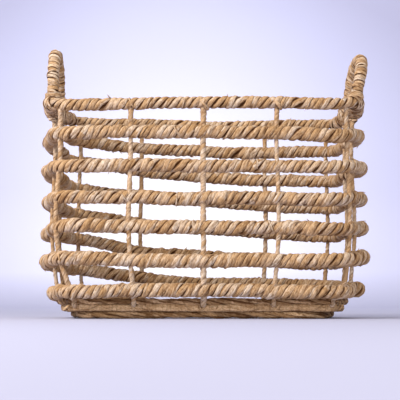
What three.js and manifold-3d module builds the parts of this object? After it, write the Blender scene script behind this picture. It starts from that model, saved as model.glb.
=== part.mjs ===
// A magazine basket woven from twisted leaf rope, in millimetres, +Z up.
// The origin is on the floor under the middle of the basket. +X runs along its length to the
// right handle and -Y faces the viewer. A spiral of rope climbs from the base to the rim and is
// threaded by upright leaf-wrapped wires. Two wound handles stand on the short sides.

import * as THREE from "three";
import { mergeVertices } from "three/addons/utils/BufferGeometryUtils.js";
import Module from "manifold-3d";

const wasm = await Module();
wasm.setup();

// Body: the rope's centre line where it passes the stakes
const HALF_LENGTH = 180;
const HALF_DEPTH = 122;
const SIDE_BOW = 12;
const ROPE_RADIUS = 7.2;
const RIM_HEIGHT = 244.7;
const RIM_ABOVE_TURNS = 35.2;
const TURN_ABOVE_BORDER = 2;
const LOWEST_TURN_INSET = 7;
const TURN_COUNT = 6;
const FIT = 0.3;

// Stakes: leaf-wrapped wires that the rope is twined round
const STAKE_RADIUS = 2.1;
const STAKE_TOP_ABOVE_RIM = 3;
const STAKE_FOOT_ABOVE_BORDER = 1.2;
const STAKE_IN_HANDLE = 16;

// Wire hoop inside the rim
const HOOP_RADIUS = 1;
const HOOP_OUTSET = 3.3;
const HOOP_CLEARANCE = 0.8;

// Base: two stacked border strands, the lower one slanting in, cross bars let into it and the
// floor ropes that lie on the bars. The steps count the bars and ropes on each side of the middle.
const BASE_INSET = 22;
const LOWER_BORDER_RADIUS = 7;
const LOWER_BORDER_SLANT = 9;
const UPPER_BORDER_RADIUS = 4;
const BAR_RADIUS = 2;
const BAR_END_DEPTH = 3;
const END_BAR_FROM_BORDER = 30;
const BAR_STEPS = 2;
const BAR_SPACING = (HALF_LENGTH - BASE_INSET - END_BAR_FROM_BORDER) / BAR_STEPS;
const FLOOR_ROPE_RADIUS = 4.2;
const END_FLOOR_ROPE_FROM_BORDER = 18;
const FLOOR_ROPE_STEPS = 4;
const FLOOR_ROPE_PITCH = (HALF_DEPTH - BASE_INSET - END_FLOOR_ROPE_FROM_BORDER) / FLOOR_ROPE_STEPS;

// Handles: a cane core, wound with a flat leaf strand and bound to the rim
const LEFT_HANDLE_RISE = 68;
const RIGHT_HANDLE_RISE = 64.5;
const LEFT_HANDLE_LEAN_DEGREES = 0.5;
const RIGHT_HANDLE_LEAN_DEGREES = 8;
const HANDLE_CORE_RADIUS = 4.4;
const WRAP_CLEARANCE = 0.8;
const WRAP_THICKNESS = 2.8;
const WRAP_GAP = 0.6;
const WRAP_LOOPS = 24;
const BINDING_CLEARANCE = 0.9;
const BINDING_THICKNESS = 2.4;
const BINDING_WIDTH = 4.2;
const BINDING_GAP = 0.6;
const BINDING_SIDE_LOOPS = 2;

// Facets of the round sections
const ROPE_SIDES = 7;
const BORDER_SIDES = 8;
const STAKE_SIDES = 5;
const BAR_SIDES = 6;
const ARCH_STEPS = 16;
const WRAP_STEPS = 8;
const BINDING_STEPS = 12;

// One quarter of the plan, from the middle of a long side to the middle of a short side: shares
// of the half length and half depth, and of the bow between the stakes of the short side
const planQuarterShares = [
  [0, 1, 0],
  [0.445, 0.99, 0],
  [0.905, 0.935, 0],
  [0.95, 0.897, 0],
  [0.98, 0.82, 0],
  [0.992, 0.55, 0],
  [0.995, 0.335, 0],
  [1, 0.17, 0.75],
  [1, 0, 1],
];
const QUARTER = planQuarterShares.length - 1;
const PLAN_COUNT = 4 * QUARTER;

// The whole plan, from the middle of the left side round the back, the right side and the front
const planShares = Array.from({ length: PLAN_COUNT }, (_, i) => {
  const quarter = Math.floor(i / QUARTER);
  const step = i % QUARTER;
  const [x, y, bow] = planQuarterShares[quarter % 2 ? step : QUARTER - step];
  const right = quarter === 1 || quarter === 2;
  const back = quarter < 2;
  return [right ? x : -x, back ? y : -y, bow];
});

// Places on the plan, as indices of planShares
const LEFT_REAR_INDEX = 2;
const SEAM_INDEX = 3;
const BACK_LEFT_INDEX = QUARTER - 2;
const BACK_MIDDLE_INDEX = QUARTER;
const BACK_RIGHT_INDEX = 2 * QUARTER - BACK_LEFT_INDEX;
const RIGHT_REAR_INDEX = 2 * QUARTER - LEFT_REAR_INDEX;
const RIGHT_MIDDLE_INDEX = 2 * QUARTER;
const RIGHT_FRONT_INDEX = 2 * QUARTER + LEFT_REAR_INDEX;
const FRONT_RIGHT_INDEX = 2 * QUARTER + BACK_LEFT_INDEX;
const FRONT_MIDDLE_INDEX = 3 * QUARTER;
const FRONT_LEFT_INDEX = PLAN_COUNT - BACK_LEFT_INDEX;
const LEFT_FRONT_INDEX = PLAN_COUNT - LEFT_REAR_INDEX;

// How far a turn of the spiral lies above its front height, in shares of the pitch, at
// stations round the plan. It falls along the back, and the front is level.
const turnStations = [
  SEAM_INDEX,
  BACK_LEFT_INDEX,
  BACK_MIDDLE_INDEX - 1,
  BACK_MIDDLE_INDEX,
  BACK_MIDDLE_INDEX + 1,
  BACK_RIGHT_INDEX,
  RIGHT_MIDDLE_INDEX,
  FRONT_RIGHT_INDEX,
  PLAN_COUNT,
  PLAN_COUNT + SEAM_INDEX,
];
const firstTurnShares = [0.66, 0.55, 0.33, 0.17, 0.17, 0.17, 0.26, 0, 0.05, -0.08];
const turnShares = [0.92, 0.84, 0.46, 0.36, 0.22, 0.08, 0.1, 0, 0, -0.08];
const tailStations = [
  PLAN_COUNT + SEAM_INDEX,
  PLAN_COUNT + BACK_LEFT_INDEX,
  PLAN_COUNT + BACK_MIDDLE_INDEX - 1,
];
const tailShares = [-0.08, -0.12, -0.14];
const rimStations = [
  LEFT_REAR_INDEX,
  BACK_LEFT_INDEX,
  BACK_MIDDLE_INDEX,
  BACK_RIGHT_INDEX,
  RIGHT_REAR_INDEX,
  RIGHT_FRONT_INDEX,
  FRONT_RIGHT_INDEX,
  FRONT_MIDDLE_INDEX,
  FRONT_LEFT_INDEX,
  LEFT_FRONT_INDEX,
];
const rimShares = [0.16, 0.28, 0.14, 0.28, 0.16, 0.16, 0, 0.03, -0.03, 0.16];

// How far each level bows out on the short sides, in shares of the side bow, from the rim down
const bowShares = [0.6, 0.65, 0.9, 0.85, 1, 1.1, 1.05];

// Heights from the floor up: the two border strands, the lowest turn, the others and the rim
const LOWER_BORDER_HEIGHT = LOWER_BORDER_RADIUS;
const UPPER_BORDER_HEIGHT = 2 * LOWER_BORDER_RADIUS + FIT + UPPER_BORDER_RADIUS;
const BORDER_TOP = UPPER_BORDER_HEIGHT + UPPER_BORDER_RADIUS;
const LOWEST_TURN_HEIGHT = BORDER_TOP + TURN_ABOVE_BORDER + ROPE_RADIUS;
const TURN_PITCH = (RIM_HEIGHT - RIM_ABOVE_TURNS - LOWEST_TURN_HEIGHT) / (TURN_COUNT - 1);
const turnHeight = (turn) => LOWEST_TURN_HEIGHT + (TURN_COUNT - turn) * TURN_PITCH;

// Straight-line reading of a table of values at rising stations
function readTable(stations, values, at) {
  const last = stations.length - 1;
  if (at <= stations[0]) return values[0];
  if (at >= stations[last]) return values[last];
  const next = stations.findIndex((station) => station > at);
  const share = (at - stations[next - 1]) / (stations[next] - stations[next - 1]);
  return THREE.MathUtils.lerp(values[next - 1], values[next], share);
}

// How far the body stands in from the nominal plan at a height: it draws in to the base
const insetAt = (height) =>
  readTable(
    [UPPER_BORDER_HEIGHT, LOWEST_TURN_HEIGHT, turnHeight(TURN_COUNT - 1)],
    [BASE_INSET, LOWEST_TURN_INSET, 0],
    height,
  );

// How far the rope bows out on the short sides at a height
function bowAt(height) {
  const levels = Array.from({ length: TURN_COUNT }, (_, i) => turnHeight(TURN_COUNT - i));
  const bows = bowShares.map((share) => share * SIDE_BOW).reverse();
  return readTable([...levels, RIM_HEIGHT], bows, height);
}

// A point of the plan at a height, moved in from the nominal plan and bowed out
function planPoint(index, height, inset, bow = 0) {
  const [x, y, bowShare] = planShares[index % PLAN_COUNT];
  const halfLength = HALF_LENGTH - inset + bow * bowShare;
  return new THREE.Vector3(x * halfLength, y * (HALF_DEPTH - inset), height);
}

const ropePoint = (index, height) => planPoint(index, height, insetAt(height), bowAt(height));

const UP = new THREE.Vector3(0, 0, 1);

// A regular section with its corners at the radius and a facet at the top
const roundSection = (radius, sides) =>
  Array.from({ length: sides }, (_, i) => {
    const angle = (2 * Math.PI * (i + 0.5)) / sides;
    return [radius * Math.sin(angle), radius * Math.cos(angle)];
  });

// The same with the facets at the radius, for pieces that lie on one another
const facetSection = (radius, sides) => roundSection(radius / Math.cos(Math.PI / sides), sides);

const stripSection = (width, thickness) => [
  [-width / 2, -thickness / 2],
  [-width / 2, thickness / 2],
  [width / 2, thickness / 2],
  [width / 2, -thickness / 2],
];

// The section planes along a path. Each path point has its own up direction.
function framesAlong(points, ups, closed = false) {
  const count = points.length;
  return points.map((point, i) => {
    const before = points[closed ? (i + count - 1) % count : Math.max(i - 1, 0)];
    const after = points[closed ? (i + 1) % count : Math.min(i + 1, count - 1)];
    const into = point.clone().sub(before).normalize();
    const onward = after.clone().sub(point).normalize();
    const along = into.add(onward).normalize();
    const side = along.clone().cross(ups[i]).normalize();
    return { point, along, side, up: side.clone().cross(along) };
  });
}

// Skins a section of [side, up] points over the planes of a path
function skin(frames, section, closed = false) {
  const count = frames.length;
  const sides = section.length;
  const positions = [];
  for (const { point, side, up } of frames) {
    for (const [s, u] of section) {
      const corner = point.clone().addScaledVector(side, s).addScaledVector(up, u);
      positions.push(corner.x, corner.y, corner.z);
    }
  }
  const faces = [];
  for (let i = 0; i < (closed ? count : count - 1); i++) {
    for (let j = 0; j < sides; j++) {
      const a = i * sides + j;
      const b = i * sides + ((j + 1) % sides);
      const c = ((i + 1) % count) * sides + j;
      const d = ((i + 1) % count) * sides + ((j + 1) % sides);
      faces.push(a, b, c, b, d, c);
    }
  }
  if (!closed) {
    const end = (count - 1) * sides;
    for (let j = 1; j < sides - 1; j++) {
      faces.push(0, j + 1, j);
      faces.push(end, end + j, end + j + 1);
    }
  }
  const geometry = new THREE.BufferGeometry();
  geometry.setAttribute("position", new THREE.Float32BufferAttribute(positions, 3));
  geometry.setIndex(faces);
  return geometry;
}

const sweep = (points, ups, section, closed) =>
  skin(framesAlong(points, ups, closed), section, closed);
const sweepFlat = (points, section, closed) =>
  sweep(points, points.map(() => UP), section, closed);

function toSolid(geometry) {
  const bare = geometry.clone();
  bare.deleteAttribute("normal");
  bare.deleteAttribute("uv");
  const merged = mergeVertices(bare);
  return new wasm.Manifold(
    new wasm.Mesh({
      numProp: 3,
      vertProperties: new Float32Array(merged.attributes.position.array),
      triVerts: new Uint32Array(merged.index.array),
    }),
  );
}

function toGeometry(solid) {
  const { vertProperties, triVerts } = solid.getMesh();
  const geometry = new THREE.BufferGeometry();
  geometry.setAttribute("position", new THREE.BufferAttribute(vertProperties, 3));
  geometry.setIndex(new THREE.BufferAttribute(triVerts, 1));
  return geometry;
}

const cut = (solid, tools) => tools.reduce((left, tool) => left.subtract(tool), solid);

// Materials
const leafRope = { color: 0xc39a68, roughness: 0.8, metalness: 0 };
const leafWrap = { color: 0xc9a577, roughness: 0.75, metalness: 0 };
const leafStrand = { color: 0xb08d5c, roughness: 0.8, metalness: 0 };
const wire = { color: 0x6b6d70, roughness: 0.45, metalness: 0.9 };
const cane = { color: 0xbd9a66, roughness: 0.6, metalness: 0 };

const basket = new THREE.Group();
basket.name = "magazine_basket";

function addPiece(name, geometry, finish) {
  const mesh = new THREE.Mesh(geometry, new THREE.MeshStandardMaterial(finish));
  mesh.name = name;
  basket.add(mesh);
}

// Heights of the turns and of the rim round the plan. The rim is level between the handle's feet.
function turnHeightAt(turn, index) {
  const shares = turn === 1 ? firstTurnShares : turnShares;
  return turnHeight(turn) + TURN_PITCH * readTable(turnStations, shares, index);
}
const tailHeightAt = (index) =>
  turnHeight(TURN_COUNT) + TURN_PITCH * readTable(tailStations, tailShares, index);
const rimHeightAt = (index) => RIM_HEIGHT + TURN_PITCH * readTable(rimStations, rimShares, index);
const rimPoint = (index, outset = 0) =>
  planPoint(index, rimHeightAt(index), -outset, bowAt(RIM_HEIGHT));

// Handles stand where the side stakes come up through the rim
function handleAt(side, front, rear, riseHeight, leanDegrees) {
  const outward = side === "left" ? -1 : 1;
  const lean = THREE.MathUtils.degToRad(leanDegrees);
  const rise = new THREE.Vector3(outward * Math.sin(lean), 0, Math.cos(lean));
  const across = new THREE.Vector3(outward * Math.cos(lean), 0, -Math.sin(lean));
  const foot = rimPoint(front);
  const halfWidth = Math.abs(foot.y);
  const centre = new THREE.Vector3(foot.x, 0, foot.z);
  const coreStart = ROPE_RADIUS + FIT + HANDLE_CORE_RADIUS * Math.sin(lean);
  const leg = riseHeight - halfWidth;
  return { side, front, rear, rise, across, centre, halfWidth, coreStart, leg };
}

const handles = [
  handleAt("left", LEFT_FRONT_INDEX, LEFT_REAR_INDEX, LEFT_HANDLE_RISE, LEFT_HANDLE_LEAN_DEGREES),
  handleAt("right", RIGHT_FRONT_INDEX, RIGHT_REAR_INDEX, RIGHT_HANDLE_RISE, RIGHT_HANDLE_LEAN_DEGREES),
];

// The arch: straight legs and a half circle, as a point a given length along it
const archLength = ({ leg, halfWidth }) => 2 * leg + Math.PI * halfWidth;

function archPoint(handle, length) {
  const { rise, centre, halfWidth, leg } = handle;
  const total = archLength(handle);
  let along = -halfWidth;
  let height = length;
  let tangent = rise.clone();
  if (length >= total - leg) {
    along = halfWidth;
    height = total - length;
    tangent.negate();
  } else if (length > leg) {
    const angle = (length - leg) / halfWidth;
    along = -halfWidth * Math.cos(angle);
    height = leg + halfWidth * Math.sin(angle);
    tangent = rise.clone().multiplyScalar(Math.cos(angle));
    tangent.y = Math.sin(angle);
  }
  const point = centre.clone().addScaledVector(rise, height);
  point.y = along;
  return { point, tangent };
}

// Stakes
const stakeIndices = {
  stake_back_1: BACK_LEFT_INDEX,
  stake_back_2: BACK_MIDDLE_INDEX - 1,
  stake_back_3: BACK_MIDDLE_INDEX,
  stake_back_4: BACK_MIDDLE_INDEX + 1,
  stake_back_5: BACK_RIGHT_INDEX,
  stake_front_1: FRONT_LEFT_INDEX,
  stake_front_2: FRONT_MIDDLE_INDEX + 1,
  stake_front_3: FRONT_MIDDLE_INDEX,
  stake_front_4: FRONT_MIDDLE_INDEX - 1,
  stake_front_5: FRONT_RIGHT_INDEX,
  stake_left_front: LEFT_FRONT_INDEX,
  stake_left_back: LEFT_REAR_INDEX,
  stake_right_front: RIGHT_FRONT_INDEX,
  stake_right_back: RIGHT_REAR_INDEX,
};

// A stake rises from its foot in the border, behind the lowest turn, to the rim or the handle
function stakePath(index) {
  const foot = UPPER_BORDER_HEIGHT + STAKE_FOOT_ABOVE_BORDER;
  const path = [planPoint(index, foot, BASE_INSET)];
  for (const height of [LOWEST_TURN_HEIGHT, turnHeight(TURN_COUNT - 1), rimHeightAt(index)]) {
    path.push(planPoint(index, height, insetAt(height)));
  }
  const handle = handles.find(({ front, rear }) => front === index || rear === index);
  const rise = handle ? handle.rise : UP;
  const length = handle ? handle.coreStart + STAKE_IN_HANDLE : STAKE_TOP_ABOVE_RIM;
  path.push(path.at(-1).clone().addScaledVector(rise, length));
  return path;
}

function stakeSolid(path, section, overrun) {
  const points = path.map((point) => point.clone());
  const down = points[0].clone().sub(points[1]).normalize();
  const up = points.at(-1).clone().sub(points.at(-2)).normalize();
  points[0].addScaledVector(down, overrun);
  points.at(-1).addScaledVector(up, overrun);
  const outward = new THREE.Vector3(points[0].x, points[0].y, 0).normalize();
  return toSolid(sweep(points, points.map(() => outward), section));
}

const stakeSection = roundSection(STAKE_RADIUS, STAKE_SIDES);
const stakeHoleSection = roundSection(STAKE_RADIUS + FIT, STAKE_SIDES);
const stakeHoles = [];
for (const [name, index] of Object.entries(stakeIndices)) {
  const path = stakePath(index);
  addPiece(name, toGeometry(stakeSolid(path, stakeSection, 0)), leafWrap);
  stakeHoles.push(stakeSolid(path, stakeHoleSection, FIT));
}

// The spiral, one piece for each turn. A turn ends face to face with the next at the seam.
function spiralPoints() {
  const points = [];
  for (let turn = 1; turn <= TURN_COUNT; turn++) {
    for (let index = SEAM_INDEX; index < SEAM_INDEX + PLAN_COUNT; index++) {
      points.push(ropePoint(index, turnHeightAt(turn, index)));
    }
  }
  for (let index = tailStations[0]; index <= tailStations.at(-1); index++) {
    points.push(ropePoint(index, tailHeightAt(index)));
  }
  return points;
}

const ropeSection = roundSection(ROPE_RADIUS, ROPE_SIDES);
const spiral = spiralPoints();
const spiralFrames = framesAlong(spiral, spiral.map(() => UP));
for (let turn = 1; turn <= TURN_COUNT; turn++) {
  const start = (turn - 1) * PLAN_COUNT;
  const isLast = turn === TURN_COUNT;
  const frames = spiralFrames.slice(start, isLast ? undefined : start + PLAN_COUNT + 1);
  if (!isLast) {
    const end = frames.pop();
    frames.push({ ...end, point: end.point.clone().addScaledVector(end.along, -FIT) });
  }
  const rope = toSolid(skin(frames, ropeSection));
  addPiece(`weave_turn_${turn}`, toGeometry(cut(rope, stakeHoles)), leafRope);
}

// Rim: rope round a wire hoop
const rimPoints = planShares.map((_, index) => rimPoint(index));
const hoopPoints = planShares.map((_, index) => rimPoint(index, HOOP_OUTSET));
const hoopBoreSection = roundSection(HOOP_RADIUS + HOOP_CLEARANCE, STAKE_SIDES);
const hoopBore = toSolid(sweepFlat(hoopPoints, hoopBoreSection, true));
const rimRope = toSolid(sweepFlat(rimPoints, ropeSection, true));
addPiece("rim_rope", toGeometry(cut(rimRope, [...stakeHoles, hoopBore])), leafRope);
addPiece("rim_hoop", sweepFlat(hoopPoints, roundSection(HOOP_RADIUS, STAKE_SIDES), true), wire);

// Base border: a round strand stands on a thicker one that slants in to the floor
const borderPath = (height, inset) => planShares.map((_, i) => planPoint(i, height, inset));
const upperBorderPath = borderPath(UPPER_BORDER_HEIGHT, BASE_INSET);
const lowerBorderPath = borderPath(LOWER_BORDER_HEIGHT, BASE_INSET + LOWER_BORDER_SLANT / 2);
const slanted = (section) =>
  section.map(([s, u]) => [s - (u * LOWER_BORDER_SLANT) / (2 * LOWER_BORDER_RADIUS), u]);
const upperBorderSolid = (clearance) => {
  const section = facetSection(UPPER_BORDER_RADIUS + clearance, BORDER_SIDES);
  return toSolid(sweepFlat(upperBorderPath, section, true));
};
const lowerBorderSolid = (clearance) => {
  const section = slanted(facetSection(LOWER_BORDER_RADIUS + clearance, BORDER_SIDES));
  return toSolid(sweepFlat(lowerBorderPath, section, true));
};
addPiece("base_border_upper", toGeometry(cut(upperBorderSolid(0), stakeHoles)), leafStrand);

// Half the depth of the lower border's path at a place along its length
const lowerBack = lowerBorderPath.slice(BACK_LEFT_INDEX, BACK_RIGHT_INDEX + 1);
const lowerDepthAt = (x) =>
  readTable(
    lowerBack.map((point) => point.x),
    lowerBack.map((point) => point.y),
    x,
  );

function barSolid(x, radius, overrun) {
  const end = lowerDepthAt(x) - LOWER_BORDER_RADIUS + BAR_END_DEPTH + overrun;
  const path = [-end, end].map((y) => new THREE.Vector3(x, y, LOWER_BORDER_HEIGHT));
  return toSolid(sweepFlat(path, facetSection(radius, BAR_SIDES)));
}

const barPlaces = Array.from(
  { length: 2 * BAR_STEPS + 1 },
  (_, i) => (i - BAR_STEPS) * BAR_SPACING,
);
barPlaces.forEach((x, i) => {
  addPiece(`base_bar_${i + 1}`, toGeometry(barSolid(x, BAR_RADIUS, 0)), wire);
});
const barHoles = barPlaces.map((x) => barSolid(x, BAR_RADIUS + FIT, FIT));
addPiece("base_border_lower", toGeometry(cut(lowerBorderSolid(0), barHoles)), leafStrand);

// Floor ropes lie on the bars and butt against the border
const FLOOR_ROPE_HEIGHT = LOWER_BORDER_HEIGHT + BAR_RADIUS + FIT + FLOOR_ROPE_RADIUS;
const floorRopeSection = facetSection(FLOOR_ROPE_RADIUS, BORDER_SIDES);
const borderRoom = [upperBorderSolid(FIT), lowerBorderSolid(FIT)];
for (let step = -FLOOR_ROPE_STEPS; step <= FLOOR_ROPE_STEPS; step++) {
  const y = step * FLOOR_ROPE_PITCH;
  const path = [-HALF_LENGTH, HALF_LENGTH].map((x) => new THREE.Vector3(x, y, FLOOR_ROPE_HEIGHT));
  const lengths = cut(toSolid(sweepFlat(path, floorRopeSection)), borderRoom).decompose();
  const inner = lengths.reduce((a, b) => (a.volume() > b.volume() ? a : b));
  addPiece(`floor_rope_${step + FLOOR_ROPE_STEPS + 1}`, toGeometry(inner), leafRope);
}

// The least distance between corners of a wound strand that lie over half a loop apart
function leastGap(geometry, sides, stepsPerLoop) {
  const position = geometry.getAttribute("position");
  const a = new THREE.Vector3();
  const b = new THREE.Vector3();
  let least = Infinity;
  for (let i = 0; i < position.count; i++) {
    const step = Math.floor(i / sides);
    a.fromBufferAttribute(position, i);
    const first = (step + Math.ceil(stepsPerLoop / 2)) * sides;
    for (let j = first; j < position.count; j++) {
      least = Math.min(least, a.distanceTo(b.fromBufferAttribute(position, j)));
    }
  }
  return least;
}

// Winds a strand round a core. place(turns) gives the core's point and two directions across it.
function winding(place, radius, loops, steps) {
  const points = [];
  const ups = [];
  for (let i = 0; i <= loops * steps; i++) {
    const turns = i / steps;
    const { point, first, second, angle } = place(turns);
    const up = first.clone().multiplyScalar(Math.cos(angle));
    up.addScaledVector(second, Math.sin(angle));
    points.push(point.clone().addScaledVector(up, radius));
    ups.push(up);
  }
  return { points, ups };
}

const BINDING_RADIUS = ROPE_RADIUS + BINDING_CLEARANCE + BINDING_THICKNESS / 2;
const BINDING_REACH = BINDING_RADIUS + BINDING_THICKNESS / 2;

function addHandle(handle) {
  const { side, across, halfWidth, coreStart, leg } = handle;
  const total = archLength(handle);
  const bendStops = Array.from(
    { length: ARCH_STEPS + 1 },
    (_, i) => leg + (i / ARCH_STEPS) * (total - 2 * leg),
  );
  const coreStops = [coreStart, ...bendStops, total - coreStart];
  const corePath = coreStops.map((stop) => archPoint(handle, stop).point);
  const coreSection = roundSection(HANDLE_CORE_RADIUS, ROPE_SIDES);
  const core = toSolid(sweep(corePath, corePath.map(() => across), coreSection));
  addPiece(`handle_core_${side}`, toGeometry(cut(core, stakeHoles)), cane);

  const start = BINDING_REACH + FIT;
  const pitch = (total - 2 * start) / (WRAP_LOOPS + 1);
  const radius = HANDLE_CORE_RADIUS + WRAP_CLEARANCE + WRAP_THICKNESS / 2;
  const place = (turns) => {
    const { point, tangent } = archPoint(handle, start + (turns + 0.5) * pitch);
    return { point, first: across, second: tangent.clone().cross(across), angle: 2 * Math.PI * turns };
  };
  const wrap = winding(place, radius, WRAP_LOOPS, WRAP_STEPS);
  const innerPitch = (pitch * (halfWidth - radius)) / halfWidth;
  const section = stripSection(innerPitch - WRAP_GAP, WRAP_THICKNESS);
  const geometry = sweep(wrap.points, wrap.ups, section);
  const gap = leastGap(geometry, section.length, WRAP_STEPS);
  console.log(`handle_wrap_${side}: least gap to itself ${gap.toFixed(2)} mm`);
  addPiece(`handle_wrap_${side}`, geometry, leafWrap);
}

handles.forEach(addHandle);

// Bindings: loops round the rim on both sides of a handle's foot. The strand crosses from one
// side to the other on the outside of the rim.
const CROSSING_TURN_SHARE = 0.34;

function addBinding(name, index) {
  const before = rimPoint(index - 1);
  const centre = rimPoint(index);
  const after = rimPoint(index + 1);
  const along = after.clone().sub(before).normalize();
  const outward = UP.clone().cross(along).normalize();
  const top = along.clone().cross(outward).normalize();
  const pitch = BINDING_WIDTH + BINDING_GAP;
  const besideFoot = HANDLE_CORE_RADIUS + FIT + BINDING_WIDTH / 2;
  const crossing = CROSSING_TURN_SHARE / 2;
  const offsetAt = (turns) => {
    const past = Math.abs(turns) - crossing;
    const offset = past > 0 ? besideFoot + past * pitch : (besideFoot * Math.abs(turns)) / crossing;
    return Math.sign(turns) * offset;
  };
  const place = (turns) => {
    const fromMiddle = turns - BINDING_SIDE_LOOPS;
    const offset = offsetAt(fromMiddle);
    const neighbour = offset < 0 ? before : after;
    const point = centre.clone().lerp(neighbour, Math.abs(offset) / neighbour.distanceTo(centre));
    return { point, first: outward, second: top, angle: 2 * Math.PI * fromMiddle };
  };
  const bound = winding(place, BINDING_RADIUS, 2 * BINDING_SIDE_LOOPS, BINDING_STEPS);
  const section = stripSection(BINDING_WIDTH, BINDING_THICKNESS);
  const geometry = sweep(bound.points, bound.ups, section);
  const gap = leastGap(geometry, section.length, BINDING_STEPS);
  console.log(`${name}: least gap to itself ${gap.toFixed(2)} mm`);
  addPiece(name, geometry, leafWrap);
}

addBinding("handle_binding_left_front", LEFT_FRONT_INDEX);
addBinding("handle_binding_left_back", LEFT_REAR_INDEX);
addBinding("handle_binding_right_front", RIGHT_FRONT_INDEX);
addBinding("handle_binding_right_back", RIGHT_REAR_INDEX);

export default basket;
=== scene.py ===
# The looks of a magazine basket of twisted leaf rope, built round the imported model, in metres.
# Every strand is a real mesh: the rope's three plies, the leaf wound round the stakes and the
# handles, the knots at the handles' feet, and the leaf bundles of the base.

import math
from collections import namedtuple

import bpy
import numpy as np
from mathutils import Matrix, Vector


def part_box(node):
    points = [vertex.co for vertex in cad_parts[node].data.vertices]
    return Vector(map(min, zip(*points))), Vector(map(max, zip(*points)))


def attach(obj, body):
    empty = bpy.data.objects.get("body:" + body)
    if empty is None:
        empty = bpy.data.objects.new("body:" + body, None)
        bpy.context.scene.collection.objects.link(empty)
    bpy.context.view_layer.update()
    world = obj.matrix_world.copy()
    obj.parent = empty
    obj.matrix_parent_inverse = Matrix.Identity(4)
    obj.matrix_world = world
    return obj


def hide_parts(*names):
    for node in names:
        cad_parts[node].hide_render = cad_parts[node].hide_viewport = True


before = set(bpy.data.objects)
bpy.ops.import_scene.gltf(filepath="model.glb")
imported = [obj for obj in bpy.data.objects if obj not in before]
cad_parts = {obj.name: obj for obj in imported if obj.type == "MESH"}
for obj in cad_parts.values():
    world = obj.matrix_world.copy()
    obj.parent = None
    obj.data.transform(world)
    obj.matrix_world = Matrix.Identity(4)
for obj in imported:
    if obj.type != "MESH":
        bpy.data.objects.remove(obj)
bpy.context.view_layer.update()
scene = bpy.context.scene

TURN = 2 * math.pi
UP = np.array((0.0, 0.0, 1.0))

# Camera: it stands low in front of the basket and looks slightly up
CAMERA_PLACE = (-0.004, -1.7095, 0.0215)
PHOTO_WIDTH_PX = 400
FOCAL_LENGTH_PX = 1408
HORIZON_BELOW_MIDDLE_PX = 100
SENSOR_WIDTH_MM = 36
CLIP_START, CLIP_END = 0.05, 50


def add_camera():
    camera = bpy.data.objects.new("camera", bpy.data.cameras.new("camera"))
    camera.location = CAMERA_PLACE
    pitch = math.atan(HORIZON_BELOW_MIDDLE_PX / FOCAL_LENGTH_PX)
    camera.rotation_euler = (math.pi / 2 + pitch, 0, 0)
    camera.data.sensor_width = SENSOR_WIDTH_MM
    camera.data.lens = SENSOR_WIDTH_MM * FOCAL_LENGTH_PX / PHOTO_WIDTH_PX
    camera.data.clip_start = CLIP_START
    camera.data.clip_end = CLIP_END
    scene.collection.objects.link(camera)
    scene.camera = camera


add_camera()

# Body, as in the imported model
HALF_LENGTH = 0.180
HALF_DEPTH = 0.122
LEFT_BOW, RIGHT_BOW = 0.0085, 0.0125
SIDE_STAKE_DRAW_IN = 0.0025
ROPE_RADIUS = 0.0072
TURN_COUNT = 6
RIM_HEIGHT = 0.2447
TURN_PITCH = 0.0356
LOWEST_TURN_HEIGHT = 0.0315
LOWEST_TURN_INSET = 0.007
BASE_INSET = 0.022
STAKE_RADIUS = 0.0027
UPPER_BORDER_HEIGHT = 0.0183
UPPER_BORDER_RADIUS = 0.004
FLOOR_ROPE_RADIUS = 0.0042
FLOOR_ROPE_HEIGHT = 0.0135
FLOOR_ROPE_COUNT = 9
BAR_COUNT = 5
LOWEST_POINT = 0.0002

# The plan from the middle of a long side to the middle of a short side: shares of the half
# length, of the half depth and of the short side's bow
PLAN_QUARTER_SHARES = (
    (0, 1, 0),
    (0.461, 0.99, 0),
    (0.905, 0.935, 0),
    (0.936, 0.88, 0),
    (0.958, 0.76, 0),
    (0.978, 0.55, 0),
    (0.995, 0.335, 0),
    (1, 0.17, 0.75),
    (1, 0, 1),
)
RIM_CORNER_SHARES = {3: (0.95, 0.897, 0), 4: (0.98, 0.82, 0), 5: (0.992, 0.55, 0)}
REAR_STAKE_SHARES = {1: 0.446, 2: 0.886}
QUARTER = len(PLAN_QUARTER_SHARES) - 1
PLAN_COUNT = 4 * QUARTER

# Places on the plan, counted from the middle of the left side round the back
LEFT_REAR = 2
SEAM = 3
BACK_LEFT = QUARTER - 2
BACK_MIDDLE = QUARTER
BACK_RIGHT = 2 * QUARTER - BACK_LEFT
RIGHT_REAR = 2 * QUARTER - LEFT_REAR
RIGHT_MIDDLE = 2 * QUARTER
RIGHT_FRONT = 2 * QUARTER + LEFT_REAR
FRONT_RIGHT = 2 * QUARTER + BACK_LEFT
FRONT_MIDDLE = 3 * QUARTER
FRONT_LEFT = PLAN_COUNT - BACK_LEFT
LEFT_FRONT = PLAN_COUNT - LEFT_REAR

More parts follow.
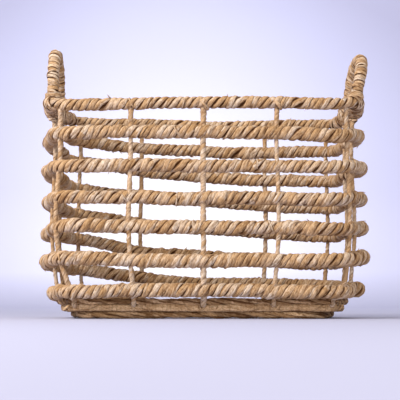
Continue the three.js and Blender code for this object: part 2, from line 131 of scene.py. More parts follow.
# Heights of each turn above its level, in turn pitches, at stations from the seam onwards
TURN_STATIONS = (SEAM, BACK_LEFT, BACK_MIDDLE - 1, BACK_MIDDLE, BACK_MIDDLE + 1, BACK_RIGHT,
                 BACK_RIGHT + 2, RIGHT_MIDDLE, FRONT_RIGHT, FRONT_MIDDLE, FRONT_LEFT, PLAN_COUNT)
TURN_SHARES = (
    (0.59, 0.51, 0.30, 0.15, 0.12, 0.115, 0.11, 0.28, -0.01, 0.055, 0.05, 0.06),
    (0.76, 0.74, 0.43, 0.23, 0.10, 0.03, 0.02, 0.20, 0, -0.03, 0, 0.05),
    (0.84, 0.77, 0.50, 0.35, 0.17, 0.08, 0.07, 0.15, -0.04, -0.065, 0.01, 0),
    (0.87, 0.82, 0.50, 0.28, 0.18, 0.03, 0.04, 0.18, -0.01, 0.01, 0.04, -0.04),
    (0.96, 0.90, 0.48, 0.33, 0.17, 0.05, 0.07, 0.15, 0.01, -0.03, 0.04, 0),
    (0.87, 0.83, 0.50, 0.35, 0.27, 0.20, 0.18, 0.08, 0, 0.017, -0.01, -0.03),
)
TAIL_STATIONS = (PLAN_COUNT + SEAM, PLAN_COUNT + BACK_LEFT, PLAN_COUNT + BACK_MIDDLE - 1)
TAIL_SHARES = (-0.25, -0.29, -0.3)
RIM_STATIONS = (LEFT_REAR, SEAM + 1, BACK_LEFT, BACK_MIDDLE, BACK_RIGHT, RIGHT_REAR,
                RIGHT_FRONT, FRONT_RIGHT, FRONT_MIDDLE, FRONT_LEFT, LEFT_FRONT)
RIM_SHARES = (0.16, 0.34, 0.28, 0.10, 0.15, 0.16, 0.16, 0.03, 0.01, -0.01, 0.16)

# How far each level's short sides bow out, in shares of their bow, from the rim down
BOW_SHARES = (0.6, 0.65, 0.9, 0.85, 1, 1.1, 1.05)

STAKE_ROWS = {
    "back": (BACK_LEFT, BACK_MIDDLE - 1, BACK_MIDDLE, BACK_MIDDLE + 1, BACK_RIGHT),
    "front": (FRONT_LEFT, FRONT_MIDDLE + 1, FRONT_MIDDLE, FRONT_MIDDLE - 1, FRONT_RIGHT),
}
STAKES = {f"stake_{side}_{number}": index for side, row in STAKE_ROWS.items()
          for number, index in enumerate(row, 1)}
HANDLE_FEET = {"left_front": LEFT_FRONT, "left_back": LEFT_REAR,
               "right_front": RIGHT_FRONT, "right_back": RIGHT_REAR}
STAKES.update((f"stake_{foot}", index) for foot, index in HANDLE_FEET.items())
STAKE_INDICES = sorted(STAKES.values())


def plan_shares(index, at_rim=False):
    """A place's shares of the half length and half depth, and of the short sides' bow."""
    quarter, step = divmod(index % PLAN_COUNT, QUARTER)
    from_middle = step if quarter % 2 else QUARTER - step
    x, y, bow = PLAN_QUARTER_SHARES[from_middle]
    if at_rim and from_middle in RIM_CORNER_SHARES:
        x, y, bow = RIM_CORNER_SHARES[from_middle]
    if quarter < 2 and not at_rim:
        x = REAR_STAKE_SHARES.get(from_middle, x)
    return x if quarter in (1, 2) else -x, y if quarter < 2 else -y, bow


def plan_point(index, height, inset, bow=0.0, at_rim=False):
    """A point of the body's wall. The short sides bow out by a share of their own bow."""
    x, y, bow_share = plan_shares(index, at_rim)
    reach = HALF_LENGTH - inset + bow * bow_share * (RIGHT_BOW if x > 0 else LEFT_BOW)
    if index % PLAN_COUNT in HANDLE_FEET.values() and height < turn_height(1):
        reach -= SIDE_STAKE_DRAW_IN
    return (x * reach, y * (HALF_DEPTH - inset), height)


def turn_height(turn):
    return LOWEST_TURN_HEIGHT + (TURN_COUNT - turn) * TURN_PITCH


def inset_at(height):
    levels = (UPPER_BORDER_HEIGHT, LOWEST_TURN_HEIGHT, turn_height(TURN_COUNT - 1))
    return float(np.interp(height, levels, (BASE_INSET, LOWEST_TURN_INSET, 0)))


def bow_at(height):
    levels = [turn_height(turn) for turn in range(TURN_COUNT, 0, -1)] + [RIM_HEIGHT]
    return float(np.interp(height, levels, BOW_SHARES[::-1]))


def rim_height_at(index):
    return RIM_HEIGHT + TURN_PITCH * float(np.interp(index % PLAN_COUNT, RIM_STATIONS, RIM_SHARES))


def rim_point(index):
    return np.array(plan_point(index, rim_height_at(index), 0, bow_at(RIM_HEIGHT), True))


# Curves and noise
CURVE_STEPS = 24
FEWEST_STEPS = 8
FACET_LENGTH, FACETS_AROUND = 0.0027, 6


def unit(vectors):
    return vectors / np.linalg.norm(vectors, axis=-1, keepdims=True)


def less_along(vectors, axis):
    """Vectors less their part along an axis."""
    return vectors - axis * np.sum(vectors * axis, axis=-1, keepdims=True)


def ease(share):
    return share * share * (3 - 2 * share)


def spin(first, second, angle):
    """Directions at each angle from a first direction towards a second."""
    return first * np.cos(angle)[:, None] + second * np.sin(angle)[:, None]


def ring_angles(sides):
    return np.linspace(0, TURN, sides, endpoint=False)


def arc_lengths(points):
    """How far along a line of points each one lies."""
    return np.concatenate(((0,), np.cumsum(np.linalg.norm(np.diff(points, axis=0), axis=1))))


def points_at(wanted, arc, points):
    """Points at wanted lengths along a line whose own points lie at the lengths arc."""
    return np.stack([np.interp(wanted, arc, points[:, i]) for i in range(3)], axis=-1)


def smooth_noise(rng, places, spacing, amount=1):
    """Smooth random values from -amount to amount along a line, a new one every spacing."""
    places = np.asarray(places) - np.min(places)
    knots = rng.uniform(-1, 1, int(places.max() / spacing) + 3)
    step = (places / spacing).astype(int)
    share = ease(places / spacing - step)
    return amount * (knots[step] * (1 - share) + knots[step + 1] * share)


def facet_noise(rng, along, sides):
    """Smooth random values from -1 to 1 over a strand's surface."""
    rows = ((along - along.min()) / FACET_LENGTH)[:, None]
    grid = rng.uniform(-1, 1, (int(rows.max()) + 3, FACETS_AROUND))
    grid = np.concatenate((grid, grid[:, :1]), axis=1)
    columns = np.linspace(0, FACETS_AROUND, sides, endpoint=False)[None]
    row, column = rows.astype(int), columns.astype(int)
    a, b = ease(rows - row), ease(columns - column)
    near = grid[row, column] * (1 - b) + grid[row, column + 1] * b
    far = grid[row + 1, column] * (1 - b) + grid[row + 1, column + 1] * b
    return near * (1 - a) + far * a


class Route:
    """A line of points at even steps, with its outward and up directions."""

    def __init__(self, points, arc, out=None, closed=False):
        self.points, self.arc, self.closed = points, arc, closed
        self.find_directions(out)

    def find_directions(self, out=None):
        """Works out the directions. It is called again after the points have moved."""
        if self.closed:
            around = np.concatenate((self.points[-2:-1], self.points, self.points[1:2]))
            self.along = unit(around[2:] - around[:-2])
        else:
            self.along = unit(np.gradient(self.points, axis=0))
        reach = np.cross(UP, self.along) if out is None else out
        self.out = unit(less_along(reach, self.along))
        self.up = np.cross(self.along, self.out)

    def beside(self, out, up):
        return self.points + self.out * out[:, None] + self.up * up[:, None]

    def waver(self, rng, amount, spacing=0.045):
        """Lets a rope wander a little up and down and in and out."""
        up, out = (smooth_noise(rng, self.arc, spacing, size) for size in (amount, amount / 2))
        self.points = self.beside(out, up)
        self.find_directions()


def smooth_route(controls, step, closed=False, out=None):
    """A route along a smooth curve through points, and how far along it each of them lies."""
    controls = np.asarray(controls, float)
    if closed:
        before, after = controls[-1:], controls[:2]
    else:
        before = 2 * controls[:1] - controls[1:2]
        after = 2 * controls[-1:] - controls[-2:-1]
    controls = np.concatenate((before, controls, after))
    chord = np.linalg.norm(np.diff(controls, axis=0), axis=1)[:, None]
    slope = np.diff(controls, axis=0) / chord
    tangent = (slope[:-1] * chord[1:] + slope[1:] * chord[:-1]) / (chord[1:] + chord[:-1])
    starts, ends, chord = controls[1:-2, None], controls[2:-1, None], chord[1:-1]
    t = (np.arange(CURVE_STEPS) / CURVE_STEPS)[None, :, None]
    dense = (
        (2 * t**3 - 3 * t**2 + 1) * starts
        + (t**3 - 2 * t**2 + t) * (tangent[:-1] * chord)[:, None]
        + (3 * t**2 - 2 * t**3) * ends
        + (t**3 - t**2) * (tangent[1:] * chord)[:, None]
    ).reshape(-1, 3)
    dense = np.concatenate((dense, ends[-1]))
    arc = arc_lengths(dense)
    even = np.linspace(0, arc[-1], max(FEWEST_STEPS, round(arc[-1] / step)) + 1)
    return Route(points_at(even, arc, dense), even, out, closed), arc[::CURVE_STEPS]


# Strands: folded leaf. A sway is a noise, given by its spacing along the strand and its amount.
# Amounts are shares of the strand's radius or angles in radians.
STRIP_SWAY, STRIP_LAY = (0.022, 1.3), 0.12
TILT_SWAY, FULLY_SHADED_TILT = (0.03, 0.5), 0.15
# The shades below are painted shade: darker under strip edges, in creases and at band edges
EDGE_SHADE, EDGE_SHADE_SHARPNESS = 0.9, 7
CREASE_COUNT, CREASE_WIDTH, CREASE_SHADE = 5, 0.19, 0.8
CREASE_SWAY, CREASE_LAY, CREASE_DEPTH_SWAY = (0.02, 1.6), 0.045, (0.007, 1.2)
LIFT_SHARE, LIFT_LENGTH = 0.5, 0.012
BAND_WAVE, BAND_LEAN_LENGTH, BAND_RELIEF = 0.0012, 0.02, 0.045
BAND_SHADE, BAND_SHADE_SHARPNESS = 0.4, 5
TONE_SWAY = (0.02, 0.5)

# A full section: how square it is, how wide its face, and how wide the painted shade at its edges
ROUNDNESS = 0.84
FACE_DEGREES, EDGE_DEGREES = 53, 12
# How much further the painted shade round a strand's axis reaches on its underside
UNDERSIDE_SHADE_REACH = 0.07


# A strand is rings of surface points. Each point has its place along and round its leaf, and a
# tone: its leaf's own, a slow drift of it along the strand, and painted shade in its hollows.
Strand = namedtuple("Strand", ("points", "fibre", "tone"))


def crease_grooves(rng, along, around):
    """Grooves that wander along a strand and come and go, each as depths from 0 to 1."""
    for _ in range(CREASE_COUNT):
        middle = rng.uniform(0, TURN) + smooth_noise(rng, along, *CREASE_SWAY)
        middle += along * rng.uniform(-1, 1) * TURN / CREASE_LAY
        depth = np.clip(smooth_noise(rng, along, *CREASE_DEPTH_SWAY) + 0.2, 0, 1)[:, None]
        apart = np.abs((around - middle[:, None] + math.pi) % TURN - math.pi)
        yield depth * np.exp(-((apart / CREASE_WIDTH) ** 2))


def leaf_bands(rng, along, around, length):
    """Wavy bands across a strand: each place's share of its band, its height and its tone."""
    reach = along.max() - along.min()
    edges = np.cumsum(rng.uniform(0.6, 1.5, int(reach / length * 1.3) + 4) * length) - 2 * length
    lean = rng.uniform(-0.5, 0.5) + smooth_noise(rng, along, BAND_LEAN_LENGTH)
    wavy = along[:, None] - along.min() + BAND_WAVE * lean[:, None] * np.cos(around)
    band = np.clip(np.searchsorted(edges, wavy), 1, len(edges) - 1)
    share = (wavy - edges[band - 1]) / (edges[band] - edges[band - 1])
    height = BAND_RELIEF * (share - 0.5) * rng.uniform(0.2, 1.6, len(edges))[band]
    return share, height, rng.uniform(0, 1, len(edges))[band]


def leaf_relief(rng, along, sides, strips=3, edge=0.22, crease=0.24, segment=0.024,
                facets=0.10, bands=0.0, grain=0.045):
    """A strand folded from a few leaf strips: the share of its radius, a random value for each
    leaf, and the painted shade at each place in a crease or under a strip's edge."""
    around = ring_angles(sides)
    drift = smooth_noise(rng, along, *STRIP_SWAY) + along * (TURN / STRIP_LAY)
    place = ((around - drift[:, None]) / (TURN / strips)) % strips
    index = np.minimum(place.astype(int), strips - 1)
    tilt = edge * (0.6 + smooth_noise(rng, along, *TILT_SWAY))
    relief = 1 + tilt[:, None] * (place - index - 0.5) + facets * facet_noise(rng, along, sides)
    relief = relief + grain * np.clip(rng.normal(size=relief.shape), -2, 2)
    # Painted shade just under each strip's raised edge
    shade = EDGE_SHADE * np.clip(1 - (place - index) * EDGE_SHADE_SHARPNESS, 0, 1)
    shade = shade * np.clip(tilt / FULLY_SHADED_TILT, 0, 1)[:, None]
    if crease:
        for groove in crease_grooves(rng, along, around):
            relief -= crease * groove
            # Painted shade in the crease
            shade = np.maximum(shade, CREASE_SHADE * groove)
    from_start = along - along.min()
    values = np.zeros(relief.shape)
    for strip in range(strips):
        lengths = rng.uniform(0.5, 1.5, int(from_start.max() / segment) * 2 + 3) * segment
        leaf = np.searchsorted(np.cumsum(lengths), from_start)
        tones = rng.uniform(0, 1, len(lengths) + 1)
        values = np.where(index == strip, tones[leaf][:, None], values)
        lift = smooth_noise(rng, along, LIFT_LENGTH, LIFT_SHARE * edge)
        relief += np.where(index == strip, lift[:, None], 0)
    if bands:
        share, height, tones = leaf_bands(rng, along, around, bands)
        relief += height
        values = 0.6 * values + 0.4 * tones
        # Painted shade where each band starts under the one before
        shade = np.maximum(shade, BAND_SHADE * np.clip(1 - share * BAND_SHADE_SHARPNESS, 0, 1))
    return relief, values, shade


def round_section(sides):
    angle = ring_angles(sides)
    return np.cos(angle), np.sin(angle), 0


def full_section(sides):
    """A strand's section in half widths, with its painted shade: none on its face, dark at its
    edges.
    """
    angle = ring_angles(sides)
    cosine, sine = (np.sign(f(angle)) * np.abs(f(angle)) ** ROUNDNESS for f in (np.cos, np.sin))
    from_face = np.degrees(np.minimum(angle, TURN - angle))
    return cosine, sine, np.clip((from_face - FACE_DEGREES) / EDGE_DEGREES, 0, 1)


def make_strand(rng, centres, radial, half_radial, half_across, sides=12, axis=None, reach=None,
                groove=0.002, bias=0.0, section=round_section, **relief_settings):
    """Sweeps a leaf strand along centres. radial is the way its section's first axis points.
    With axis and reach, painted shade darkens points deeper than the reach round the axis."""
    tangent = unit(np.gradient(centres, axis=0))
    radial = unit(less_along(radial, tangent))
    across = np.cross(tangent, radial)
    along = arc_lengths(centres)
    relief, leaf, shade = leaf_relief(rng, along, sides, **relief_settings)
    cosine, sine, painted_edge_shade = section(sides)
    one = np.ones(len(centres))
    a = (one * half_radial)[:, None] * relief * cosine
    b = (one * half_across)[:, None] * relief * sine
    points = centres[:, None] + a[..., None] * radial[:, None] + b[..., None] * across[:, None]
    fibre = np.stack((np.broadcast_to(along[:, None], a.shape), a, b), axis=-1)
    # Painted shade at the section's edges, where strands meet, in creases and under strip edges
    painted_shade = np.maximum(shade, painted_edge_shade)
    # Painted shade deeper than the reach round the axis, reaching further on the underside
    if axis is not None:
        off = less_along(points - axis.points[:, None], axis.along[:, None])
        far = np.linalg.norm(off, axis=2)
        under = np.clip(-np.sum(off * axis.up[:, None], axis=2) / far, 0, 1)
        limit = (one * reach)[:, None] * (1 + UNDERSIDE_SHADE_REACH * under)
        painted_shade = np.maximum(painted_shade, np.clip((limit - far) / groove, 0, 1))
    drift = np.broadcast_to(0.5 + smooth_noise(rng, along, *TONE_SWAY)[:, None], a.shape)
    tone = np.stack((np.clip(leaf + bias, 0, 1), drift, painted_shade), axis=-1)
    return Strand(points, fibre, tone)


LOOP_STEPS = 26
LOOP_END_SHARE, LOOP_END_STEPS = 0.25, 4
LOOP_REACH_SWAY, LOOP_WIDTH_SWAY = (0.9, 0.05), (0.8, 0.15)


def loop_strand(rng, centre, first, second, half_first, half_second, *, width, thick, turns,
                start, drift=0 * UP):
    """A flat strip wound round a centre, in the plane of two directions, creeping by drift."""
    count = int(LOOP_STEPS * turns) + 4
    angle = start + np.linspace(0, TURN * turns, count)
    ragged = 1 + smooth_noise(rng, angle, *LOOP_REACH_SWAY)
    centres = (
        centre
        + first * (half_first * ragged * np.cos(angle))[:, None]
        + second * (half_second * ragged * np.sin(angle))[:, None]
        + drift * np.linspace(-0.5, 0.5, count)[:, None]
    )
    across = width * (1 + smooth_noise(rng, angle, *LOOP_WIDTH_SWAY))
    from_end = np.minimum(np.arange(count), np.arange(count)[::-1])
    across *= np.clip(LOOP_END_SHARE + from_end / LOOP_END_STEPS, 0, 1)
    return make_strand(rng, centres, spin(first, second, angle), thick, across, strips=2,
                       edge=0.2, crease=0.3, segment=0.03, bias=0.1, section=full_section)


def crossing_strip(rng, route, ring, radius, thick, leans, widths, turns, starts):
    """A thin strip of leaf aslant over a route. Each range is drawn from in turn."""
    lean = unit(route.up[ring] + route.along[ring] * rng.uniform(*leans))
    return loop_strand(rng, route.points[ring], route.out[ring], lean, radius, radius,
                       width=rng.uniform(*widths), thick=thick, turns=rng.uniform(*turns),
                       start=rng.uniform(*starts))


def add_mesh(name, points, faces):
    mesh = bpy.data.meshes.new(name)
    mesh.from_pydata(points, [], faces)
    mesh.polygons.foreach_set("use_smooth", np.ones(len(faces), bool))
    made = bpy.data.objects.new(name, mesh)
    scene.collection.objects.link(made)
    return made


def build_piece(name, strands, slot, *replaced):
    """Joins strands into one mesh that rides on the basket."""
    faces = []
    start = 0
    for strand in strands:
        rings, sides = strand.points.shape[:2]
        corner = start + np.arange(rings * sides).reshape(rings, sides)
        turned = np.roll(corner, -1, axis=1)
        quads = np.stack((corner[:-1], turned[:-1], turned[1:], corner[1:]), axis=-1)
        faces += quads.reshape(-1, 4).tolist()
        faces += [corner[0, ::-1].tolist(), corner[-1].tolist()]
        start += rings * sides
    points = np.concatenate([strand.points.reshape(-1, 3) for strand in strands])
    points[:, 2] = np.maximum(points[:, 2], LOWEST_POINT)
    piece = add_mesh(name, points.tolist(), faces)
    for title in ("fibre", "tone"):
        values = np.concatenate([getattr(strand, title).reshape(-1, 3) for strand in strands])
        attribute = piece.data.attributes.new(title, "FLOAT_VECTOR", "POINT")
        attribute.data.foreach_set("vector", values.ravel())
    piece.data.update()
    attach(piece, "root")
    if replaced:
        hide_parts(*replaced)
    piece.data.materials.append(MATERIALS[slot])


# Materials: a noise has its scales along, across and through the leaf, its detail and its
# roughness. A ramp's stops are places and colours.
STREAKS = ((45, 1100, 1100), 3, 0.6)
BLOTCHES = ((70, 160, 160), 2, 0.5)
FLECKS = ((400, 950, 950), 2, 0.6)
STREAK_STOPS = ((0.32, (0.51, 0.41, 0.31)), (0.5, (0.97, 0.95, 0.93)), (0.68, (1.12, 1.18, 1.25)))
FLECK_STOPS = ((0.34, (0.61, 0.53, 0.43)), (0.5, (1.0, 0.99, 0.99)), (0.66, (1.11, 1.18, 1.28)))
DARK_FLECK_STOPS = ((0.68, (0, 0, 0)), (0.76, (0.5, 0.5, 0.5)))
WIRE_STOPS = ((0.35, (0.16, 0.14, 0.12)), (0.55, (0.30, 0.29, 0.28)), (0.7, (0.20, 0.12, 0.07)))
STRAW = (
    (0.0, (0.35, 0.188, 0.075)),
    (0.22, (0.47, 0.288, 0.140)),
    (0.45, (0.58, 0.388, 0.222)),
    (0.7, (0.635, 0.485, 0.345)),
    (1.0, (0.69, 0.590, 0.480)),
)
PALE_STRAW = tuple((place, tuple(1.03 * c + 0.01 for c in colour)) for place, colour in STRAW)
OLD_STRAW = (
    (0.0, (0.14, 0.070, 0.025)),
    (0.3, (0.33, 0.190, 0.085)),
    (0.55, (0.515, 0.325, 0.168)),
    (0.8, (0.68, 0.46, 0.262)),
    (1.0, (0.79, 0.585, 0.37)),
)
# The dark brown of the dark flecks, and of the painted shade in hollows and creases
DARK_FLECK_AND_SHADE = (0.10, 0.036, 0.009)
BLOTCH_SHARE, TONE_SHARE, TONE_SHIFT = 0.7, 0.6, -0.02
# How much of the dark brown the painted shade gives at its darkest
STREAK_SHARE, PAINTED_SHADE_SHARE = 0.9, 0.97
GLOSSIER, DULLER, BLOTCH_HEIGHT = 0.12, 0.14, 0.6


def feed(tree, sockets, values):
    """Gives sockets their own values, or links them to the outputs that feed them."""
    for key, value in values.items():
        if isinstance(value, bpy.types.NodeSocket):
            tree.links.new(value, sockets[key])
        else:
            is_colour = sockets[key].type == "RGBA"
            sockets[key].default_value = (*value, 1) if is_colour else value


def add_node(tree, kind, inputs, **settings):
    made = tree.nodes.new(f"ShaderNode{kind}")
    for key, value in settings.items():
        setattr(made, key, value)
    feed(tree, made.inputs, inputs)
    return made


def calculate(tree, operation, *values, kind="Math"):
    return add_node(tree, kind, dict(enumerate(values)), operation=operation).outputs[0]


def attribute_vector(tree, name):
    return add_node(tree, "Attribute", {}, attribute_name=name).outputs["Vector"]


def ramp(tree, factor, stops):
    made = add_node(tree, "ValToRGB", {"Fac": factor})
    elements = made.color_ramp.elements
    while len(elements) < len(stops):
        elements.new(0.5)
    for element, (place, colour) in zip(elements, stops):
        element.position = place
        element.color = (*colour, 1)
    return made.outputs["Color"]


def mix_colour(tree, factor, first, second, blend="MIX"):
    inputs = {0: factor, 6: first, 7: second}
    return add_node(tree, "Mix", inputs, data_type="RGBA", blend_type=blend).outputs[2]


def noise(tree, place, scale, detail, roughness=0.5):
    inputs = {"Vector": place, "Scale": scale, "Detail": detail, "Roughness": roughness}
    return add_node(tree, "TexNoise", inputs).outputs["Fac"]


def spread(tree, value, least, most):
    return add_node(tree, "MapRange", {"Value": value, "To Min": least, "To Max": most}).outputs[0]


def new_material(name):
    material = bpy.data.materials.new(name)
    material.use_nodes = True
    return material, material.node_tree, material.node_tree.nodes["Principled BSDF"].inputs


def leaf_material(name, palette, roughness, bump):
    """Dried leaf: a tone for each leaf, streaks along the fibres, flecks and painted shade in
    hollows.
    """
    material, tree, shader = new_material(name)
    tone = add_node(tree, "SeparateXYZ", {0: attribute_vector(tree, "tone")}).outputs
    fibre = attribute_vector(tree, "fibre")
    streaks, blotches, flecks = (
        noise(tree, calculate(tree, "MULTIPLY", fibre, scales, kind="VectorMath"), 1, *settings)
        for scales, *settings in (STREAKS, BLOTCHES, FLECKS))
    mixed = calculate(tree, "MULTIPLY_ADD", blotches, BLOTCH_SHARE, tone["X"])
    shifted = calculate(tree, "MULTIPLY_ADD", mixed, TONE_SHARE, TONE_SHIFT)
    base = ramp(tree, shifted, palette)
    streaked = mix_colour(tree, STREAK_SHARE, base, ramp(tree, streaks, STREAK_STOPS), "MULTIPLY")
    mottled = mix_colour(tree, 1.0, streaked, ramp(tree, flecks, FLECK_STOPS), "MULTIPLY")
    flecked = mix_colour(tree, ramp(tree, flecks, DARK_FLECK_STOPS), mottled, DARK_FLECK_AND_SHADE)
    # Painted shade: the tone's third value darkens the colour towards the dark brown
    painted_shade_share = calculate(tree, "MULTIPLY", tone["Z"], PAINTED_SHADE_SHARE)
    height = calculate(tree, "MULTIPLY_ADD", blotches, BLOTCH_HEIGHT, flecks)
    bumps = add_node(tree, "Bump", {"Strength": 0.8, "Distance": bump, "Height": height})
    feed(tree, shader, {
        "Base Color": mix_colour(tree, painted_shade_share, flecked, DARK_FLECK_AND_SHADE),
        "Roughness": spread(tree, streaks, roughness - GLOSSIER, roughness + DULLER),
        "Specular IOR Level": 0.11,
        "Sheen Weight": 0.02,
        "Normal": bumps.outputs[0],
    })
    return material


def wire_material():
    """Dull annealed wire with faint draw marks and brown patches."""
    material, tree, shader = new_material("wire")
    place = add_node(tree, "TexCoord", {}).outputs["Object"]
    patches = noise(tree, place, scale=90, detail=4)
    feed(tree, shader, {"Base Color": ramp(tree, patches, WIRE_STOPS), "Metallic": 0.9,
                        "Roughness": spread(tree, patches, 0.35, 0.65)})
    return material


MATERIALS = {
    "leaf_rope": leaf_material("leaf_rope", STRAW, roughness=0.62, bump=0.0005),
    "leaf_wrap": leaf_material("leaf_wrap", PALE_STRAW, roughness=0.6, bump=0.0004),
    "leaf_border": leaf_material("leaf_border", OLD_STRAW, roughness=0.66, bump=0.0007),
    "wire": wire_material(),
}
MATERIALS["cane"] = MATERIALS["leaf_wrap"]

# Rope: its plies' places and half sizes, and how it twists, parts round a stake and swells
PLY_COUNT = 3
LAY = 0.0243
PLY_REACH = 0.0042
PLY_RADIAL = 0.0034
PLY_ACROSS = 0.0036
STEPS_PER_LAY = 20
PLY_SIDES = 24
# Painted shade between the plies: it starts inside this reach round the rope's axis and is full
# after the groove
PLY_SHADE_REACH, PLY_GROOVE = 0.0065, 0.0008
STAKE_ROOM = 0.0014
STAKE_SQUEEZE = 0.0008
STAKE_PARTING_LENGTH = 0.0036
TWIST_SLIP_PLIES, TWIST_SWAY, TWIST_HELD_LENGTH = 0.45, (0.013, 0.75), 0.012
ROPE_SIZE_SWAY, PLY_SIZE_SWAY = (0.05, 0.04), (0.0085, 0.13)
BULGE, BULGE_LENGTH, BULGE_SPACING = 0.2, 0.005, 0.3
TIP_COUNT, TIP_WIDTH, TIP_THICKNESS, FREE_STEPS = 24, 0.0014, 0.0006, 4
TIP_FREE_RINGS, STRIP_FREE_RINGS = (8, 16), 20
STRIP_RADIUS, STRIP_THICKNESS, STRIP_COUNT = 0.0077, 0.0006, 4
STRIP_RANGES = ((-0.5, 0.7), (0.0010, 0.0019), (0.35, 0.6), (-2.2, -0.4))

RIM_SCALE = 0.93
SPIRAL_SCALES = (1.03, 1.09)
SIDE_SWELL, SIDE_SWELL_REACH = 0.12, 0.06
SPIRAL_WAVER, RIM_WAVER, FLOOR_WAVER = 0.0011, 0.0008, 0.0006
SPIRAL_TAPERS, TAPER_END, TAPER_POWER = (0.02, 0.03), 0.35, 0.6
START_HEIGHT, START_SHARE = 0.230, 0.2
SPLICE_TURN, SPLICE_PLACE = 4, (-0.0075, -0.122)


def twist_phase(rng, route, stake_arcs, lay):
    """The first ply's angle. Between two stakes it turns past a whole number of plies."""
    arcs = [0.0, *stake_arcs, route.arc[-1]]
    gaps = np.diff(arcs) / (lay / PLY_COUNT)
    plies = [max(1, round(gap + rng.uniform(-TWIST_SLIP_PLIES, TWIST_SLIP_PLIES))) for gap in gaps]
    plies[0], plies[-1] = gaps[0], gaps[-1]
    angles = -TURN / PLY_COUNT * (np.concatenate(((0,), np.cumsum(plies))) - plies[0])
    phase = np.interp(route.arc, arcs, angles)
    nearest = np.min(np.abs(route.arc[:, None] - np.array(arcs)[None]), axis=1)
    free = 1 - np.exp(-((nearest / TWIST_HELD_LENGTH) ** 2))
    return phase + free * smooth_noise(rng, route.arc, *TWIST_SWAY)


def rope_plies(rng, route, stake_arcs, scale, lay=LAY, sides=PLY_SIDES, tapers=()):
    """The plies of a rope. They part at each stake and close again after it."""
    phase = twist_phase(rng, route, stake_arcs, lay)
    near = np.zeros(len(route.arc))
    for arc in stake_arcs:
        near = np.maximum(near, np.exp(-(((route.arc - arc) / STAKE_PARTING_LENGTH) ** 2)))
    size = np.ones(len(route.arc)) * scale
    for from_end, length in zip((route.arc, route.arc[-1] - route.arc), tapers):
        size *= TAPER_END + (1 - TAPER_END) * np.clip(from_end / length, 0, 1) ** TAPER_POWER
    size *= 1 + smooth_noise(rng, route.arc, *ROPE_SIZE_SWAY)
    plies = []
    for ply in range(PLY_COUNT):
        angle = phase + TURN * ply / PLY_COUNT
        swell = size * (1 + smooth_noise(rng, route.arc, *PLY_SIZE_SWAY))
        for _ in range(int(route.arc[-1] / BULGE_SPACING)):
            bulge = rng.uniform(0, route.arc[-1])
            swell *= 1 + BULGE * np.exp(-(((route.arc - bulge) / BULGE_LENGTH) ** 2))
        out = (PLY_REACH * size + STAKE_ROOM * near) * np.cos(angle)
        centres = route.beside(out, PLY_REACH * size * np.sin(angle))
        plies.append(make_strand(
            rng, centres, spin(route.out, route.up, angle),
            PLY_RADIAL * swell - STAKE_SQUEEZE * near, PLY_ACROSS * swell, sides, axis=route,
            reach=PLY_SHADE_REACH * size, groove=PLY_GROOVE, section=full_section, edge=0.18,
            facets=0.09, grain=0.03))
    return plies


def leaf_tip(rng, strand, ring, width):
    """A leaf's end that lies on a strand for a while and then stands off it in a point."""
    rings, sides = strand.points.shape[:2]
    side = int(rng.integers(-3, 4)) % sides
    lying = min(int(rng.integers(5, 11)), rings - ring - 2)
    lift = np.linspace(-0.3, 1, lying) * rng.uniform(0.0006, 0.0011)
    under = strand.points[ring : ring + lying]
    normals = unit(under[:, side] - under.mean(axis=1))
    centres = under[:, side] + normals * lift[:, None]
    ahead = unit(centres[-1] - centres[-2])
    free = rng.uniform(0.0015, 0.0045)
    curl = rng.uniform(-0.1, 0.3)
    share = np.linspace(0, 1, FREE_STEPS + 1)[1:, None]
    standing = centres[-1] + free * share * (ahead + normals[-1] * curl * share)
    centres = np.concatenate((centres, standing))
    normals = np.concatenate((normals, np.repeat(normals[-1:], FREE_STEPS, axis=0)))
    share = np.linspace(0, 1, len(centres))
    wide = width * (1 - share**2.5 * 0.88) * np.clip(share * 6 + 0.3, 0, 1)
    return make_strand(rng, centres, normals, TIP_THICKNESS * (1 - 0.5 * share), wide, 8,
                       crease=0, edge=0.1, bias=0.05)


def strip_rings(rng, first, last):
    return rng.integers(first + STRIP_FREE_RINGS, last - STRIP_FREE_RINGS, STRIP_COUNT)


def loose_leaves(rng, route, plies, rings, scale):
    """Leaf tips that stand off a rope, and strips that cross it where a leaf was worked in."""
    strands = []
    for _ in range(TIP_COUNT):
        ply = plies[int(rng.integers(len(plies)))]
        ring = int(rng.integers(TIP_FREE_RINGS[0], len(ply.points) - TIP_FREE_RINGS[1]))
        strands.append(leaf_tip(rng, ply, ring, TIP_WIDTH * rng.uniform(0.5, 1.3)))
    if rings is None:
        rings = strip_rings(rng, 0, len(route.arc))
    for ring in rings:
        strands.append(crossing_strip(rng, route, ring, STRIP_RADIUS * scale, STRIP_THICKNESS,
                                      *STRIP_RANGES))
    return strands


def turn_points():
    """The spiral's points from under the left handle's rear foot, with each one's plan index."""
    foot, seam = (np.array(plan_point(index, START_HEIGHT, 0)) for index in (LEFT_REAR, SEAM))
    points, places = [(1 - START_SHARE) * foot + START_SHARE * seam], [-1]

    def add_point(turn, index, share):
        height = turn_height(turn) + TURN_PITCH * share
        points.append(plan_point(index, height, inset_at(height), bow_at(height)))
        places.append(index)

    stations = (*TURN_STATIONS, PLAN_COUNT + SEAM)
    for turn in range(1, TURN_COUNT + 1):
        last = TAIL_SHARES[0] if turn == TURN_COUNT else TURN_SHARES[turn][0] - 1
        shares = (*TURN_SHARES[turn - 1], last)
        for index in range(SEAM, SEAM + PLAN_COUNT):
            add_point(turn, index, float(np.interp(index, stations, shares)))
    for index in range(TAIL_STATIONS[0], TAIL_STATIONS[-1] + 1):
        add_point(TURN_COUNT, index, float(np.interp(index, TAIL_STATIONS, TAIL_SHARES)))
    return points, places


def at_stakes(stops, places):
    return [stop for stop, place in zip(stops, places) if place % PLAN_COUNT in STAKE_INDICES]


